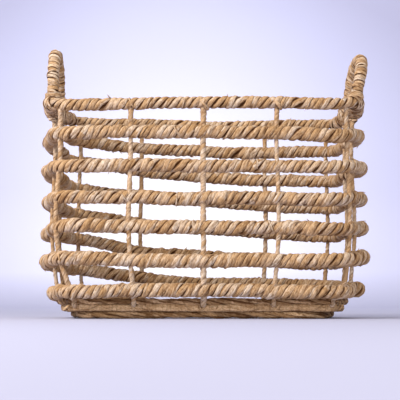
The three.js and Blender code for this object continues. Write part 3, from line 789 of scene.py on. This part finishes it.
def build_spiral(rng):
    controls, places = turn_points()
    route, stops = smooth_route(controls, LAY / STEPS_PER_LAY)
    route.waver(rng, SPIRAL_WAVER)
    scale = np.interp(route.arc, (0, route.arc[-1]), SPIRAL_SCALES)
    from_side = np.abs(route.points[:, 1]) / SIDE_SWELL_REACH
    scale = scale * (1 + SIDE_SWELL * np.clip(1 - from_side, 0, 1))
    plies = rope_plies(rng, route, at_stakes(stops, places), scale, tapers=SPIRAL_TAPERS)
    seams = [stop for stop, place in zip(stops, places) if place == SEAM][1:]
    bounds = [0, *np.searchsorted(route.arc, seams), len(route.arc) - 1]
    for turn, (first, last) in enumerate(zip(bounds, bounds[1:]), 1):
        parts = [Strand(*(values[first : last + 1] for values in ply)) for ply in plies]
        rings = list(strip_rings(rng, first, last))
        if turn == SPLICE_TURN:
            off = route.points[first:last, :2] - SPLICE_PLACE
            middle = first + int(np.argmin(np.hypot(off[:, 0], off[:, 1])))
            rings += [middle - 2, middle, middle + 1]
        parts += loose_leaves(rng, route, parts, rings, scale[first])
        build_piece(f"rope_turn_{turn}", parts, "leaf_rope", f"weave_turn_{turn}")


def build_rim(rng):
    places = range(LEFT_REAR, LEFT_REAR + PLAN_COUNT + 1)
    route, stops = smooth_route([rim_point(index) for index in places], LAY / STEPS_PER_LAY)
    route.waver(rng, RIM_WAVER)
    plies = rope_plies(rng, route, at_stakes(stops, places)[1:-1], RIM_SCALE)
    strands = plies + loose_leaves(rng, route, plies, None, RIM_SCALE)
    build_piece("rope_rim", strands, "leaf_rope", "rim_rope")


# Handles
ARCH_STEPS = 400
HANDLE_CORE_RADIUS, CORE_STEP = 0.0042, 0.003
WRAP_STEP, WRAP_FROM_FOOT = 0.00024, 0.0075
HANDLE_BANDS = 36
# WRAP_GROOVE is also the depth over which painted shade darkens the wound strand towards the core
WRAP_REACH, WRAP_THICKNESS, WRAP_GROOVE = 0.0054, 0.0016, 0.0010
CROWN_SWELL, FOOT_SWELL, FOOT_SWELL_BANDS = 0.0006, 0.0020, 2.4
WRAP_REACH_SWAY, WRAP_ANGLE_SWAY = (0.0022, 0.0007), (0.007, 0.9)
WRAP_SIDE_SWAY, WRAP_WIDTH_SWAY = (0.0013, 0.0011), (0.0026, 0.14)
HANDLE_STRIP_COUNT, HANDLE_STRIP_RISES = 15, (0.0011, 0.0012)


def handle_shape(sign, foot_index, height, lean_degrees, skew):
    lean = math.radians(lean_degrees)
    foot = rim_point(foot_index)
    return {
        "rise": height,
        "skew": skew,
        "up": np.array((sign * math.sin(lean), 0, math.cos(lean))),
        "out": np.array((sign * math.cos(lean), 0, -math.sin(lean))),
        "centre": np.array((foot[0], 0, foot[2])),
        "half_width": abs(foot[1]),
    }


HANDLES = {
    "left": handle_shape(-1, LEFT_FRONT, height=0.0688, lean_degrees=1, skew=0.0004),
    "right": handle_shape(1, RIGHT_FRONT, height=0.0647, lean_degrees=10.5, skew=0.0022),
}


def arch_route(handle, step, start=0.0):
    """The handle's arch, half an ellipse from foot to foot, less the length start at each end."""
    angle = np.linspace(0, math.pi, ARCH_STEPS)
    points = handle["centre"] + handle["up"] * (handle["rise"] * np.sin(angle))[:, None]
    points += handle["out"] * (handle["skew"] * np.sin(2 * angle))[:, None]
    points[:, 1] = -handle["half_width"] * np.cos(angle)
    arc = arc_lengths(points)
    wanted = np.linspace(start, arc[-1] - start, round((arc[-1] - 2 * start) / step) + 1)
    return Route(points_at(wanted, arc, points), wanted - start, handle["out"])


def wound_handle(rng, route):
    """The strand wound round a handle, and the strips that cross its windings."""
    arc = route.arc
    pitch = arc[-1] / HANDLE_BANDS
    share = arc / arc[-1]
    crown = np.sin(math.pi * share) ** 2
    foot = np.exp(-((np.minimum(share, 1 - share) * HANDLE_BANDS / FOOT_SWELL_BANDS) ** 4))
    reach = WRAP_REACH + CROWN_SWELL * crown + FOOT_SWELL * foot
    reach = reach + smooth_noise(rng, arc, *WRAP_REACH_SWAY)
    angle = -TURN * arc / pitch + smooth_noise(rng, arc, *WRAP_ANGLE_SWAY)
    radial = spin(route.out, route.up, angle)
    sway = smooth_noise(rng, arc, *WRAP_SIDE_SWAY) + 0.0012 * np.cos(angle + 0.6)
    centres = route.points + radial * reach[:, None] + route.along * sway[:, None]
    wide = pitch * (0.56 + smooth_noise(rng, arc, *WRAP_WIDTH_SWAY))
    strands = [make_strand(rng, centres, radial, WRAP_THICKNESS, wide, 16, axis=route,
                           reach=reach + WRAP_GROOVE, groove=WRAP_GROOVE, strips=2, edge=0.25,
                           crease=0.3, segment=0.03, bias=0.05, section=full_section)]
    for place in rng.uniform(0.08, 0.92, HANDLE_STRIP_COUNT):
        ring = int(place * (len(arc) - 1))
        lean = unit(route.up[ring] + route.along[ring] * rng.uniform(0.35, 0.7))
        halves = [reach[ring] + rise for rise in HANDLE_STRIP_RISES]
        start = rng.uniform(-0.6, 0.6) + (math.pi / 2 if rng.random() < 0.5 else -math.pi / 2)
        strands.append(loop_strand(rng, route.points[ring], route.out[ring], lean, *halves,
                                   width=0.0019, thick=0.0007, turns=0.55, start=start))
    return strands


def build_handles(rng):
    for side, handle in HANDLES.items():
        route = arch_route(handle, CORE_STEP)
        core = make_strand(rng, route.points, route.out, HANDLE_CORE_RADIUS, HANDLE_CORE_RADIUS,
                           14, strips=2, edge=0.05, crease=0.1, segment=0.3)
        build_piece(f"cane_{side}", [core], "cane", f"handle_core_{side}")
        strands = wound_handle(rng, arch_route(handle, WRAP_STEP, WRAP_FROM_FOOT))
        build_piece(f"wound_handle_{side}", strands, "leaf_wrap", f"handle_wrap_{side}")


# Stakes: the heights and insets of a stake's foot, and how its size changes
FOOT_STEPS = (
    (0.0148, BASE_INSET + 0.0010),
    (0.0165, BASE_INSET - UPPER_BORDER_RADIUS - 0.0014),
    (0.0205, BASE_INSET - UPPER_BORDER_RADIUS - 0.0010),
    (0.0250, 0.0125),
)
CORNER_STAKE_DRAW_IN = 0.0045
STAKE_BEND_DROP = 0.002
STAKE_ABOVE_RIM, STAKE_IN_HANDLE, SIDE_STAKE_SHARE = 0.003, 0.02, 0.97
STAKE_STEP, STAKE_SEAM_PITCH = 0.0015, 0.014
STAKE_SWAY, STAKE_SIZE_SWAY = (0.03, 0.0005), (0.02, 0.08)
MIDDLE_STAKE_SIZE, STAKE_SIZES, STAKE_FLATNESS = 1.27, (0.96, 1.13), 0.94
FOOT_LENGTH, FOOT_SIZE = 0.006, 0.7
HEAD_SWELL, HEAD_SWELL_LENGTH, HEAD_SWELL_DROP = 0.3, 0.008, 0.004


def stake_path(index, top):
    """From the tie under the border, over its outer face and up to the rim or the handle."""
    foot = [plan_point(index, height, inset) for height, inset in FOOT_STEPS]
    if abs(foot[0][0]) < HALF_LENGTH / 2:
        above = plan_point(index, 0, LOWEST_TURN_INSET)[0]
        foot = [(above, y, height) for _, y, height in foot]
    heights = [LOWEST_TURN_HEIGHT, turn_height(TURN_COUNT - 1),
               turn_height(1) - STAKE_BEND_DROP, rim_height_at(index)]
    path = foot + [plan_point(index, height, inset_at(height)) for height in heights]
    if index == FRONT_LEFT:
        x, y, height = path[len(foot)]
        path[len(foot)] = (x + CORNER_STAKE_DRAW_IN, y, height)
    return [*path, np.array(path[-1]) + top]


def build_stakes(rng):
    for name, index in STAKES.items():
        top = UP * STAKE_ABOVE_RIM
        if index in HANDLE_FEET.values():
            top = HANDLES["left" if "left" in name else "right"]["up"] * STAKE_IN_HANDLE
        x, y, _ = plan_shares(index)
        reach = x * HALF_LENGTH if abs(x) > SIDE_STAKE_SHARE else 0
        out = unit(np.array((reach, y * HALF_DEPTH, 0)))
        route, _ = smooth_route(stake_path(index, top), STAKE_STEP, out=out)
        route.points += route.up * smooth_noise(rng, route.arc, *STAKE_SWAY)[:, None]
        route.find_directions(out)
        seam = route.arc * (TURN / STAKE_SEAM_PITCH) + rng.uniform(0, 6)
        scale = MIDDLE_STAKE_SIZE if index == FRONT_MIDDLE else rng.uniform(*STAKE_SIZES)
        size = STAKE_RADIUS * scale * (1 + smooth_noise(rng, route.arc, *STAKE_SIZE_SWAY))
        size *= np.clip(route.arc / FOOT_LENGTH, FOOT_SIZE, 1)
        from_head = (route.arc[-1] - route.arc - HEAD_SWELL_DROP) / HEAD_SWELL_LENGTH
        size *= 1 + HEAD_SWELL * np.exp(-(from_head**2))
        strand = make_strand(rng, route.points, spin(route.out, route.up, seam), size,
                             size * STAKE_FLATNESS, 14, strips=2, edge=0.14, crease=0.1,
                             segment=0.04, bias=0.04)
        build_piece(f"wound_{name}", [strand], "leaf_wrap", name)


# Knots: the bindings at the handles' feet. Loops have a distance from the rim and a half size.
KNOT_OUT, KNOT_UP, KNOT_ALONG = 0.0098, 0.0120, 0.0112
KNOT_DROP, KNOT_OUTSET = 0.0002, 0.0006
KNOT_STRANDS, KNOT_CORE_RINGS, KNOT_CORE_SIDES = 24, 15, 20
KNOT_CORE_INSET_ALONG, KNOT_CORE_INSET = 0.0006, 0.001
FOOT_LOOPS = ((0.0080, 0.0094), (0.0105, 0.0090), (0.0133, 0.0086), (0.0163, 0.0083))
STAKE_LOOPS = ((0.0125, 0.0048), (0.0155, 0.0039))
CORNER_WRAPS, CORNER_WRAP_RADIUS, CORNER_WRAP_START = 15, 0.0076, 0.002
CORNER_STEPS, CORNER_FIRST_SHARE, CORNER_PROBE = 60, 0.4, 0.002
KNOT_CORNERS = {"left_front": FRONT_LEFT + 1, "left_back": BACK_LEFT - 1,
                "right_front": FRONT_RIGHT - 1, "right_back": BACK_RIGHT + 1}


def knot_loops(rng, centre, along, out, top):
    """Strands lashed over a rounded knot, most of them aslant across the rim."""
    strands = []
    for step in range(KNOT_STRANDS):
        slant = rng.uniform(42, 88) if step % 4 else rng.uniform(0, 25)
        turn = math.radians(slant if step % 2 else -slant)
        cosine, sine = math.cos(turn), math.sin(turn)
        reach = out * cosine + along * sine
        normal = along * cosine - out * sine
        half = KNOT_OUT * cosine**2 + KNOT_ALONG * sine**2
        depth = KNOT_ALONG * cosine**2 + KNOT_OUT * sine**2
        share = rng.uniform(-0.8, 0.8)
        slim = math.sqrt(1 - share**2) * rng.uniform(0.94, 1.04)
        lean = unit(top + normal * rng.uniform(-0.4, 0.4))
        strands.append(loop_strand(
            rng, centre + normal * share * depth, reach, lean, half * slim, KNOT_UP * slim,
            width=rng.uniform(0.0011, 0.0020), thick=0.0010, turns=1.0,
            drift=normal * rng.uniform(-0.002, 0.002), start=rng.uniform(2, 4)))
    return strands


def corner_wraps(rng, foot, corner):
    """Strands wound round the rim from a handle's foot to the corner beside it."""
    first = foot + CORNER_FIRST_SHARE * np.sign(corner - foot)
    steps = np.linspace(first, corner, CORNER_STEPS)
    below = np.floor(steps).astype(int)
    places = np.array([(1 - (step - low)) * rim_point(low) + (step - low) * rim_point(low + 1)
                       for step, low in zip(steps, below)])
    arc = arc_lengths(places)
    strands = []
    for wanted in np.linspace(CORNER_WRAP_START, arc[-1], CORNER_WRAPS):
        ahead = points_at(wanted + CORNER_PROBE, arc, places)
        along = unit(ahead - points_at(wanted - CORNER_PROBE, arc, places))
        out = unit(np.cross(UP, along))
        lean = unit(UP + along * rng.uniform(-0.75, 0.75))
        half = CORNER_WRAP_RADIUS * rng.uniform(0.96, 1.08)
        strands.append(loop_strand(
            rng, points_at(wanted, arc, places), out, lean, half, half * 1.04,
            width=rng.uniform(0.0016, 0.0027), thick=0.0009, turns=1.05,
            drift=along * rng.uniform(-0.003, 0.003), start=rng.uniform(2, 4)))
    return strands


def build_knots(rng):
    """Wound strands over a rounded core of leaf, and loops round the handle's and stake's ends."""
    for name, index in HANDLE_FEET.items():
        rim = rim_point(index)
        along = unit(rim_point(index + 1) - rim_point(index - 1))
        out = unit(np.cross(UP, along))
        top = np.cross(along, out)
        rise = HANDLES[name.split("_")[0]]["up"]
        centre = rim - top * KNOT_DROP + out * KNOT_OUTSET
        strands = knot_loops(rng, centre, along, out, top)
        strands += corner_wraps(rng, index, KNOT_CORNERS[name])
        share = np.linspace(-1, 1, KNOT_CORE_RINGS)
        body = np.sqrt(1 - 0.98 * share**2)
        strands.append(make_strand(
            rng, centre + along * (share * (KNOT_ALONG - KNOT_CORE_INSET_ALONG))[:, None],
            np.broadcast_to(out, (KNOT_CORE_RINGS, 3)), (KNOT_OUT - KNOT_CORE_INSET) * body,
            (KNOT_UP - KNOT_CORE_INSET) * body, KNOT_CORE_SIDES, strips=4, edge=0.12,
            crease=0.1, bias=-0.2))
        for lift, half in FOOT_LOOPS:
            tilt = unit(out + rise * rng.uniform(-0.25, 0.1))
            strands.append(loop_strand(rng, rim + rise * lift, tilt, along, half, half,
                                       width=0.0022, thick=0.0014, turns=1.1,
                                       drift=rise * 0.002, start=rng.uniform(1, 5)))
        for drop, half in STAKE_LOOPS:
            tilt = unit(out + top * rng.uniform(-0.5, 0.5))
            strands.append(loop_strand(rng, rim - top * drop, tilt, along, half, half,
                                       width=0.0018, thick=0.0010, turns=1.1,
                                       drift=top * 0.003, start=rng.uniform(0, 6)))
        build_piece(f"knot_{name}", strands, "leaf_wrap", f"handle_binding_{name}")


# Base: each place is a height, then the insets from the body at the long and the short sides
BASE_BOW = 0.0062
BASE_LEFT_REACH = 0.0018
UPPER_PLACE = (0.0198, 0.022, 0.020)
ROLL_PLACE, ROLL_RADIUS = (0.0128, 0.024, 0.021), 0.0046
LOWER_PLACE, LOWER_REACH = (0.0056, 0.0285, 0.033), 0.0027
INNER_PLACE = (0.0100, 0.032, 0.034)
SIDE_FILL_PLACE = (0.0205, 0.0165, 0.0155)
BORDER_STEP, ROLL_STEP, SIDE_FILL_STEP = 0.0017, 0.0010, 0.0016
BUNDLE_END_LENGTH = 0.02
ROLL_STRIP_COUNT, ROLL_STRIP_RISE, ROLL_STRIP_THICKNESS = 20, 0.0001, 0.0004
ROLL_STRIP_RANGES = ((-0.9, 0.9), (0.0008, 0.0020), (0.3, 0.6), (-2.2, -0.6))
FLOOR_ROPE_SIDES = 14
FLOOR_ROPE_REACH, FLOOR_ROPE_BOW = 0.001, 0.006
HEAD_TIES = (FRONT_MIDDLE, FRONT_MIDDLE - 1, BACK_MIDDLE - 1)
HEAD_TIE_DROP, HEAD_TIE_HALVES, FOOT_TIE_RISES = 0.0015, (0.0072, 0.0084), (0.0002, 0.0008)


def base_point(index, height, inset, side_inset):
    """A point of the base's edge, set in from the body at the long sides and the short ones."""
    x, y, bow_share = plan_shares(index)
    reach = HALF_LENGTH - side_inset + BASE_BOW * bow_share + (BASE_LEFT_REACH if x < 0 else 0)
    return (x * reach, y * (HALF_DEPTH - inset), height)


def border_route(place, step=BORDER_STEP):
    return smooth_route([base_point(index, *place) for index in range(PLAN_COUNT)], step, True)[0]


def bundle(rng, route, places, lay, half_radial, half_across, sides=12, wander=0.0005,
           lump=0.22, spacing=0.02, **settings):
    """Strands that keep their places in a bundle, given as out and up offsets, and wander."""
    strands = []
    turns = round(route.arc[-1] / lay) if lay else 0
    angle = TURN * turns * route.arc / route.arc[-1]
    from_end = np.minimum(route.arc, route.arc[-1] - route.arc)
    ends = np.clip(from_end / BUNDLE_END_LENGTH, 0, 1)
    for out, up in places:
        o = out * np.cos(angle) - up * np.sin(angle)
        u = out * np.sin(angle) + up * np.cos(angle)
        radial = route.out * (o + 1e-5)[:, None] + route.up * u[:, None]
        o = o + ends * smooth_noise(rng, route.arc, spacing, wander)
        u = u + ends * smooth_noise(rng, route.arc, spacing, wander)
        swell = 1 + ends * smooth_noise(rng, route.arc, spacing, lump)
        strands.append(make_strand(rng, route.beside(o, u), radial, half_radial * swell,
                                   half_across * swell, sides, section=full_section, **settings))
    return strands


def ring_places(count, reach):
    angles = ring_angles(count)
    return [(reach * math.cos(angle), reach * math.sin(angle)) for angle in angles]


def build_stake_ties(rng):
    """Leaf strips: over the rim where a stake ends, and over the border at its foot."""
    heads, feet = [], []
    for index in STAKE_INDICES:
        before, after = (np.array(plan_point(index + i, 0, BASE_INSET)) for i in (-1, 1))
        along = unit(after - before)
        out = np.cross(UP, along)
        if index in HEAD_TIES:
            lean = unit(UP + along * rng.uniform(0.5, 0.8))
            heads.append(loop_strand(rng, rim_point(index) - UP * HEAD_TIE_DROP, out, lean,
                                     *HEAD_TIE_HALVES, width=0.0024, thick=0.0010, turns=0.6,
                                     start=rng.uniform(-2.0, -1.7)))
        roll = np.array(base_point(index, *ROLL_PLACE))
        if index not in HANDLE_FEET.values():
            roll[0] = plan_point(index, 0, LOWEST_TURN_INSET)[0]
        lean = unit(UP + along * (1 if index % 2 else -1) * rng.uniform(0.7, 1.1))
        halves = [ROLL_RADIUS + rise for rise in FOOT_TIE_RISES]
        feet.append(loop_strand(rng, roll, out, lean, *halves, width=0.0013, thick=0.0005,
                                turns=0.42, start=-1.5))
    build_piece("ties_rim", heads, "leaf_wrap")
    build_piece("ties_base", feet, "leaf_border")


def build_border(rng):
    upper = border_route(UPPER_PLACE)
    # The axis, reach and groove paint shade on each strand's side towards the bundle's middle
    strands = bundle(rng, upper, ring_places(4, 0.0018), 0.11, 0.0017, 0.0022, wander=0.0008,
                     lump=0.3, spacing=0.010, axis=upper, reach=0.0033, groove=0.0011,
                     segment=0.03, facets=0.12, bias=0.05)
    build_piece("border_bundle_upper", strands, "leaf_border", "base_border_upper")

    roll = border_route(ROLL_PLACE, ROLL_STEP)
    strands = bundle(rng, roll, [(0, 0)], 0, ROLL_RADIUS, ROLL_RADIUS, sides=36, strips=6,
                     edge=0.12, crease=0.13, segment=0.08, bias=0.4, lump=0.07, facets=0.04,
                     bands=0.0038, grain=0.02)
    for _ in range(ROLL_STRIP_COUNT):
        ring = int(rng.integers(len(roll.arc)))
        strands.append(crossing_strip(rng, roll, ring, ROLL_RADIUS + ROLL_STRIP_RISE,
                                      ROLL_STRIP_THICKNESS, *ROLL_STRIP_RANGES))
    lower = border_route(LOWER_PLACE)
    # The axis, reach and groove paint shade on each strand's side towards the bundle's middle
    strands += bundle(rng, lower, ring_places(5, LOWER_REACH), 0.13, 0.0021, 0.0028,
                      wander=0.0009, lump=0.22, spacing=0.014, axis=lower, reach=0.0047,
                      groove=0.0013, segment=0.05)
    strands += bundle(rng, lower, [(0, 0)], 0, 0.0024, 0.0024, sides=10, bias=-0.3)
    inner = border_route(INNER_PLACE)
    strands += bundle(rng, inner, ring_places(3, 0.0022), 0.05, 0.0024, 0.0028, sides=10,
                      wander=0.0006, bias=-0.2)
    build_piece("border_bundle_lower", strands, "leaf_border", "base_border_lower")


def build_side_fills(rng):
    """Leaf bundles that close the slope between the lowest turn and the border at each end."""
    spans = {"left": range(LEFT_FRONT - 2, PLAN_COUNT + LEFT_REAR + 3),
             "right": range(RIGHT_REAR - 2, RIGHT_FRONT + 3)}
    for side, indices in spans.items():
        points = [base_point(index, *SIDE_FILL_PLACE) for index in indices]
        for end in (0, -1):
            points[end] = base_point(indices[end], *UPPER_PLACE)
        route, _ = smooth_route(points, SIDE_FILL_STEP)
        # The axis, reach and groove paint shade on each strand's side towards the bundle's middle
        strands = bundle(rng, route, ring_places(4, 0.0026), 0.05, 0.0021, 0.0028,
                         wander=0.0008, lump=0.25, spacing=0.011, axis=route, reach=0.0042,
                         groove=0.0012, segment=0.04)
        build_piece(f"side_bundle_{side}", strands, "leaf_border")


def build_floor(rng):
    scale = FLOOR_ROPE_RADIUS / ROPE_RADIUS
    for number in range(1, FLOOR_ROPE_COUNT + 1):
        low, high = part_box(f"floor_rope_{number}")
        y = (low[1] + high[1]) / 2
        reach = FLOOR_ROPE_REACH + FLOOR_ROPE_BOW * (1 - (y / HALF_DEPTH) ** 2)
        points = [(x, y, FLOOR_ROPE_HEIGHT) for x in (low[0] - reach, 0, high[0] + reach)]
        route, _ = smooth_route(points, LAY * scale / STEPS_PER_LAY)
        route.waver(rng, FLOOR_WAVER)
        plies = rope_plies(rng, route, [], scale, LAY * scale, FLOOR_ROPE_SIDES)
        build_piece(f"rope_floor_{number}", plies, "leaf_rope", f"floor_rope_{number}")


def dress_frame():
    """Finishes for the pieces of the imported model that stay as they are."""
    for name in ("rim_hoop", *(f"base_bar_{number}" for number in range(1, BAR_COUNT + 1))):
        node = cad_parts[name]
        node.data.materials.clear()
        node.data.materials.append(MATERIALS["wire"])


# Room and light: a lamp has its place, target, size, power and colour
FLOOR_NEAR, WALL_BEHIND, WALL_TOP, CORNER_RADIUS, STAGE_HALF_WIDTH = -5.0, 2.4, 5.0, 0.35, 6.0
STAGE_CORNER_STEPS = 13
STAGE_FLOOR_COLOUR = (0.475, 0.485, 0.64)
STAGE_BLEND_STOPS = ((0.0, (0, 0, 0)), (0.10, (1, 1, 1)))
# A painted pool of light on the wall behind the basket: its middle and its stretch
LIGHT_POOL_PLACE, LIGHT_POOL_STRETCH = (-0.05, 0, 0.28), (0.837, 0, 1.095)
WALL_LIGHT_POOL_COLOURS = (
    (0.0, (0.95, 0.96, 1.0)),
    (0.2, (0.92, 0.93, 1.0)),
    (0.33, (0.80, 0.82, 1.0)),
    (0.48, (0.70, 0.72, 0.96)),
    (0.62, (0.62, 0.64, 0.86)),
    (0.8, (0.51, 0.52, 0.72)),
)
WORLD_COLOUR, WORLD_STRENGTH = (1.0, 0.955, 0.91), 0.80
BASKET_MIDDLE = (0, 0, 0.14)
LAMPS = {
    "key": ((-1.35, -1.15, 1.25), BASKET_MIDDLE, 0.6, 42, (1.0, 0.96, 0.92)),
    "fill": ((0.9, -2.1, 0.8), BASKET_MIDDLE, 1.4, 10, (1.0, 0.97, 0.94)),
    "wall": ((-0.05, 1.45, 1.15), (-0.1, 2.4, 0.25), 0.6, 4.5, (1.0, 1.0, 1.0)),
}


def stage_material():
    """Plain paint, with a painted pool of pale light on the wall behind the basket."""
    material, tree, shader = new_material("stage")
    where = add_node(tree, "TexCoord", {}).outputs["Object"]
    # Painted light: the wall is palest near the pool's middle and darker away from it
    offset = calculate(tree, "SUBTRACT", where, LIGHT_POOL_PLACE, kind="VectorMath")
    stretched = calculate(tree, "MULTIPLY", offset, LIGHT_POOL_STRETCH, kind="VectorMath")
    far = add_node(tree, "VectorMath", {0: stretched}, operation="LENGTH").outputs["Value"]
    height = add_node(tree, "SeparateXYZ", {0: where}).outputs["Z"]
    wall = ramp(tree, far, WALL_LIGHT_POOL_COLOURS)
    colour = mix_colour(tree, ramp(tree, height, STAGE_BLEND_STOPS), STAGE_FLOOR_COLOUR, wall)
    feed(tree, shader, {"Base Color": colour, "Roughness": 0.85})
    return material


def add_stage():
    """A floor that curves up into a plain wall behind."""
    angle = np.linspace(0, math.pi / 2, STAGE_CORNER_STEPS)
    corner = zip(WALL_BEHIND - CORNER_RADIUS * (1 - np.sin(angle)),
                 CORNER_RADIUS * (1 - np.cos(angle)))
    profile = [(FLOOR_NEAR, 0), *corner, (WALL_BEHIND, WALL_TOP)]
    points = [(x, y, z) for y, z in profile for x in (-STAGE_HALF_WIDTH, STAGE_HALF_WIDTH)]
    faces = [(i, i + 1, i + 3, i + 2) for i in range(0, len(points) - 2, 2)]
    stage = add_mesh("stage", points, faces)
    stage.data.materials.append(stage_material())


def add_light(name, place, target, size, power, colour):
    lamp = bpy.data.objects.new(name, bpy.data.lights.new(name, "AREA"))
    lamp.data.size = size
    lamp.data.energy = power
    lamp.data.color = colour
    lamp.location = place
    lamp.rotation_euler = (Vector(target) - Vector(place)).to_track_quat("-Z", "Y").to_euler()
    scene.collection.objects.link(lamp)


def add_room():
    add_stage()
    scene.world = bpy.data.worlds.new("room")
    scene.world.use_nodes = True
    tree = scene.world.node_tree
    light = {"Color": WORLD_COLOUR, "Strength": WORLD_STRENGTH}
    feed(tree, tree.nodes["Background"].inputs, light)
    for name, settings in LAMPS.items():
        add_light(name, *settings)
    scene.view_settings.view_transform = "Standard"


SEEDED_BUILDS = ((build_spiral, 11), (build_rim, 23), (build_stakes, 37), (build_handles, 51),
                 (build_knots, 67), (build_stake_ties, 83), (build_border, 97),
                 (build_side_fills, 103), (build_floor, 113))
for build, seed in SEEDED_BUILDS:
    build(np.random.default_rng(seed))
dress_frame()
add_room()
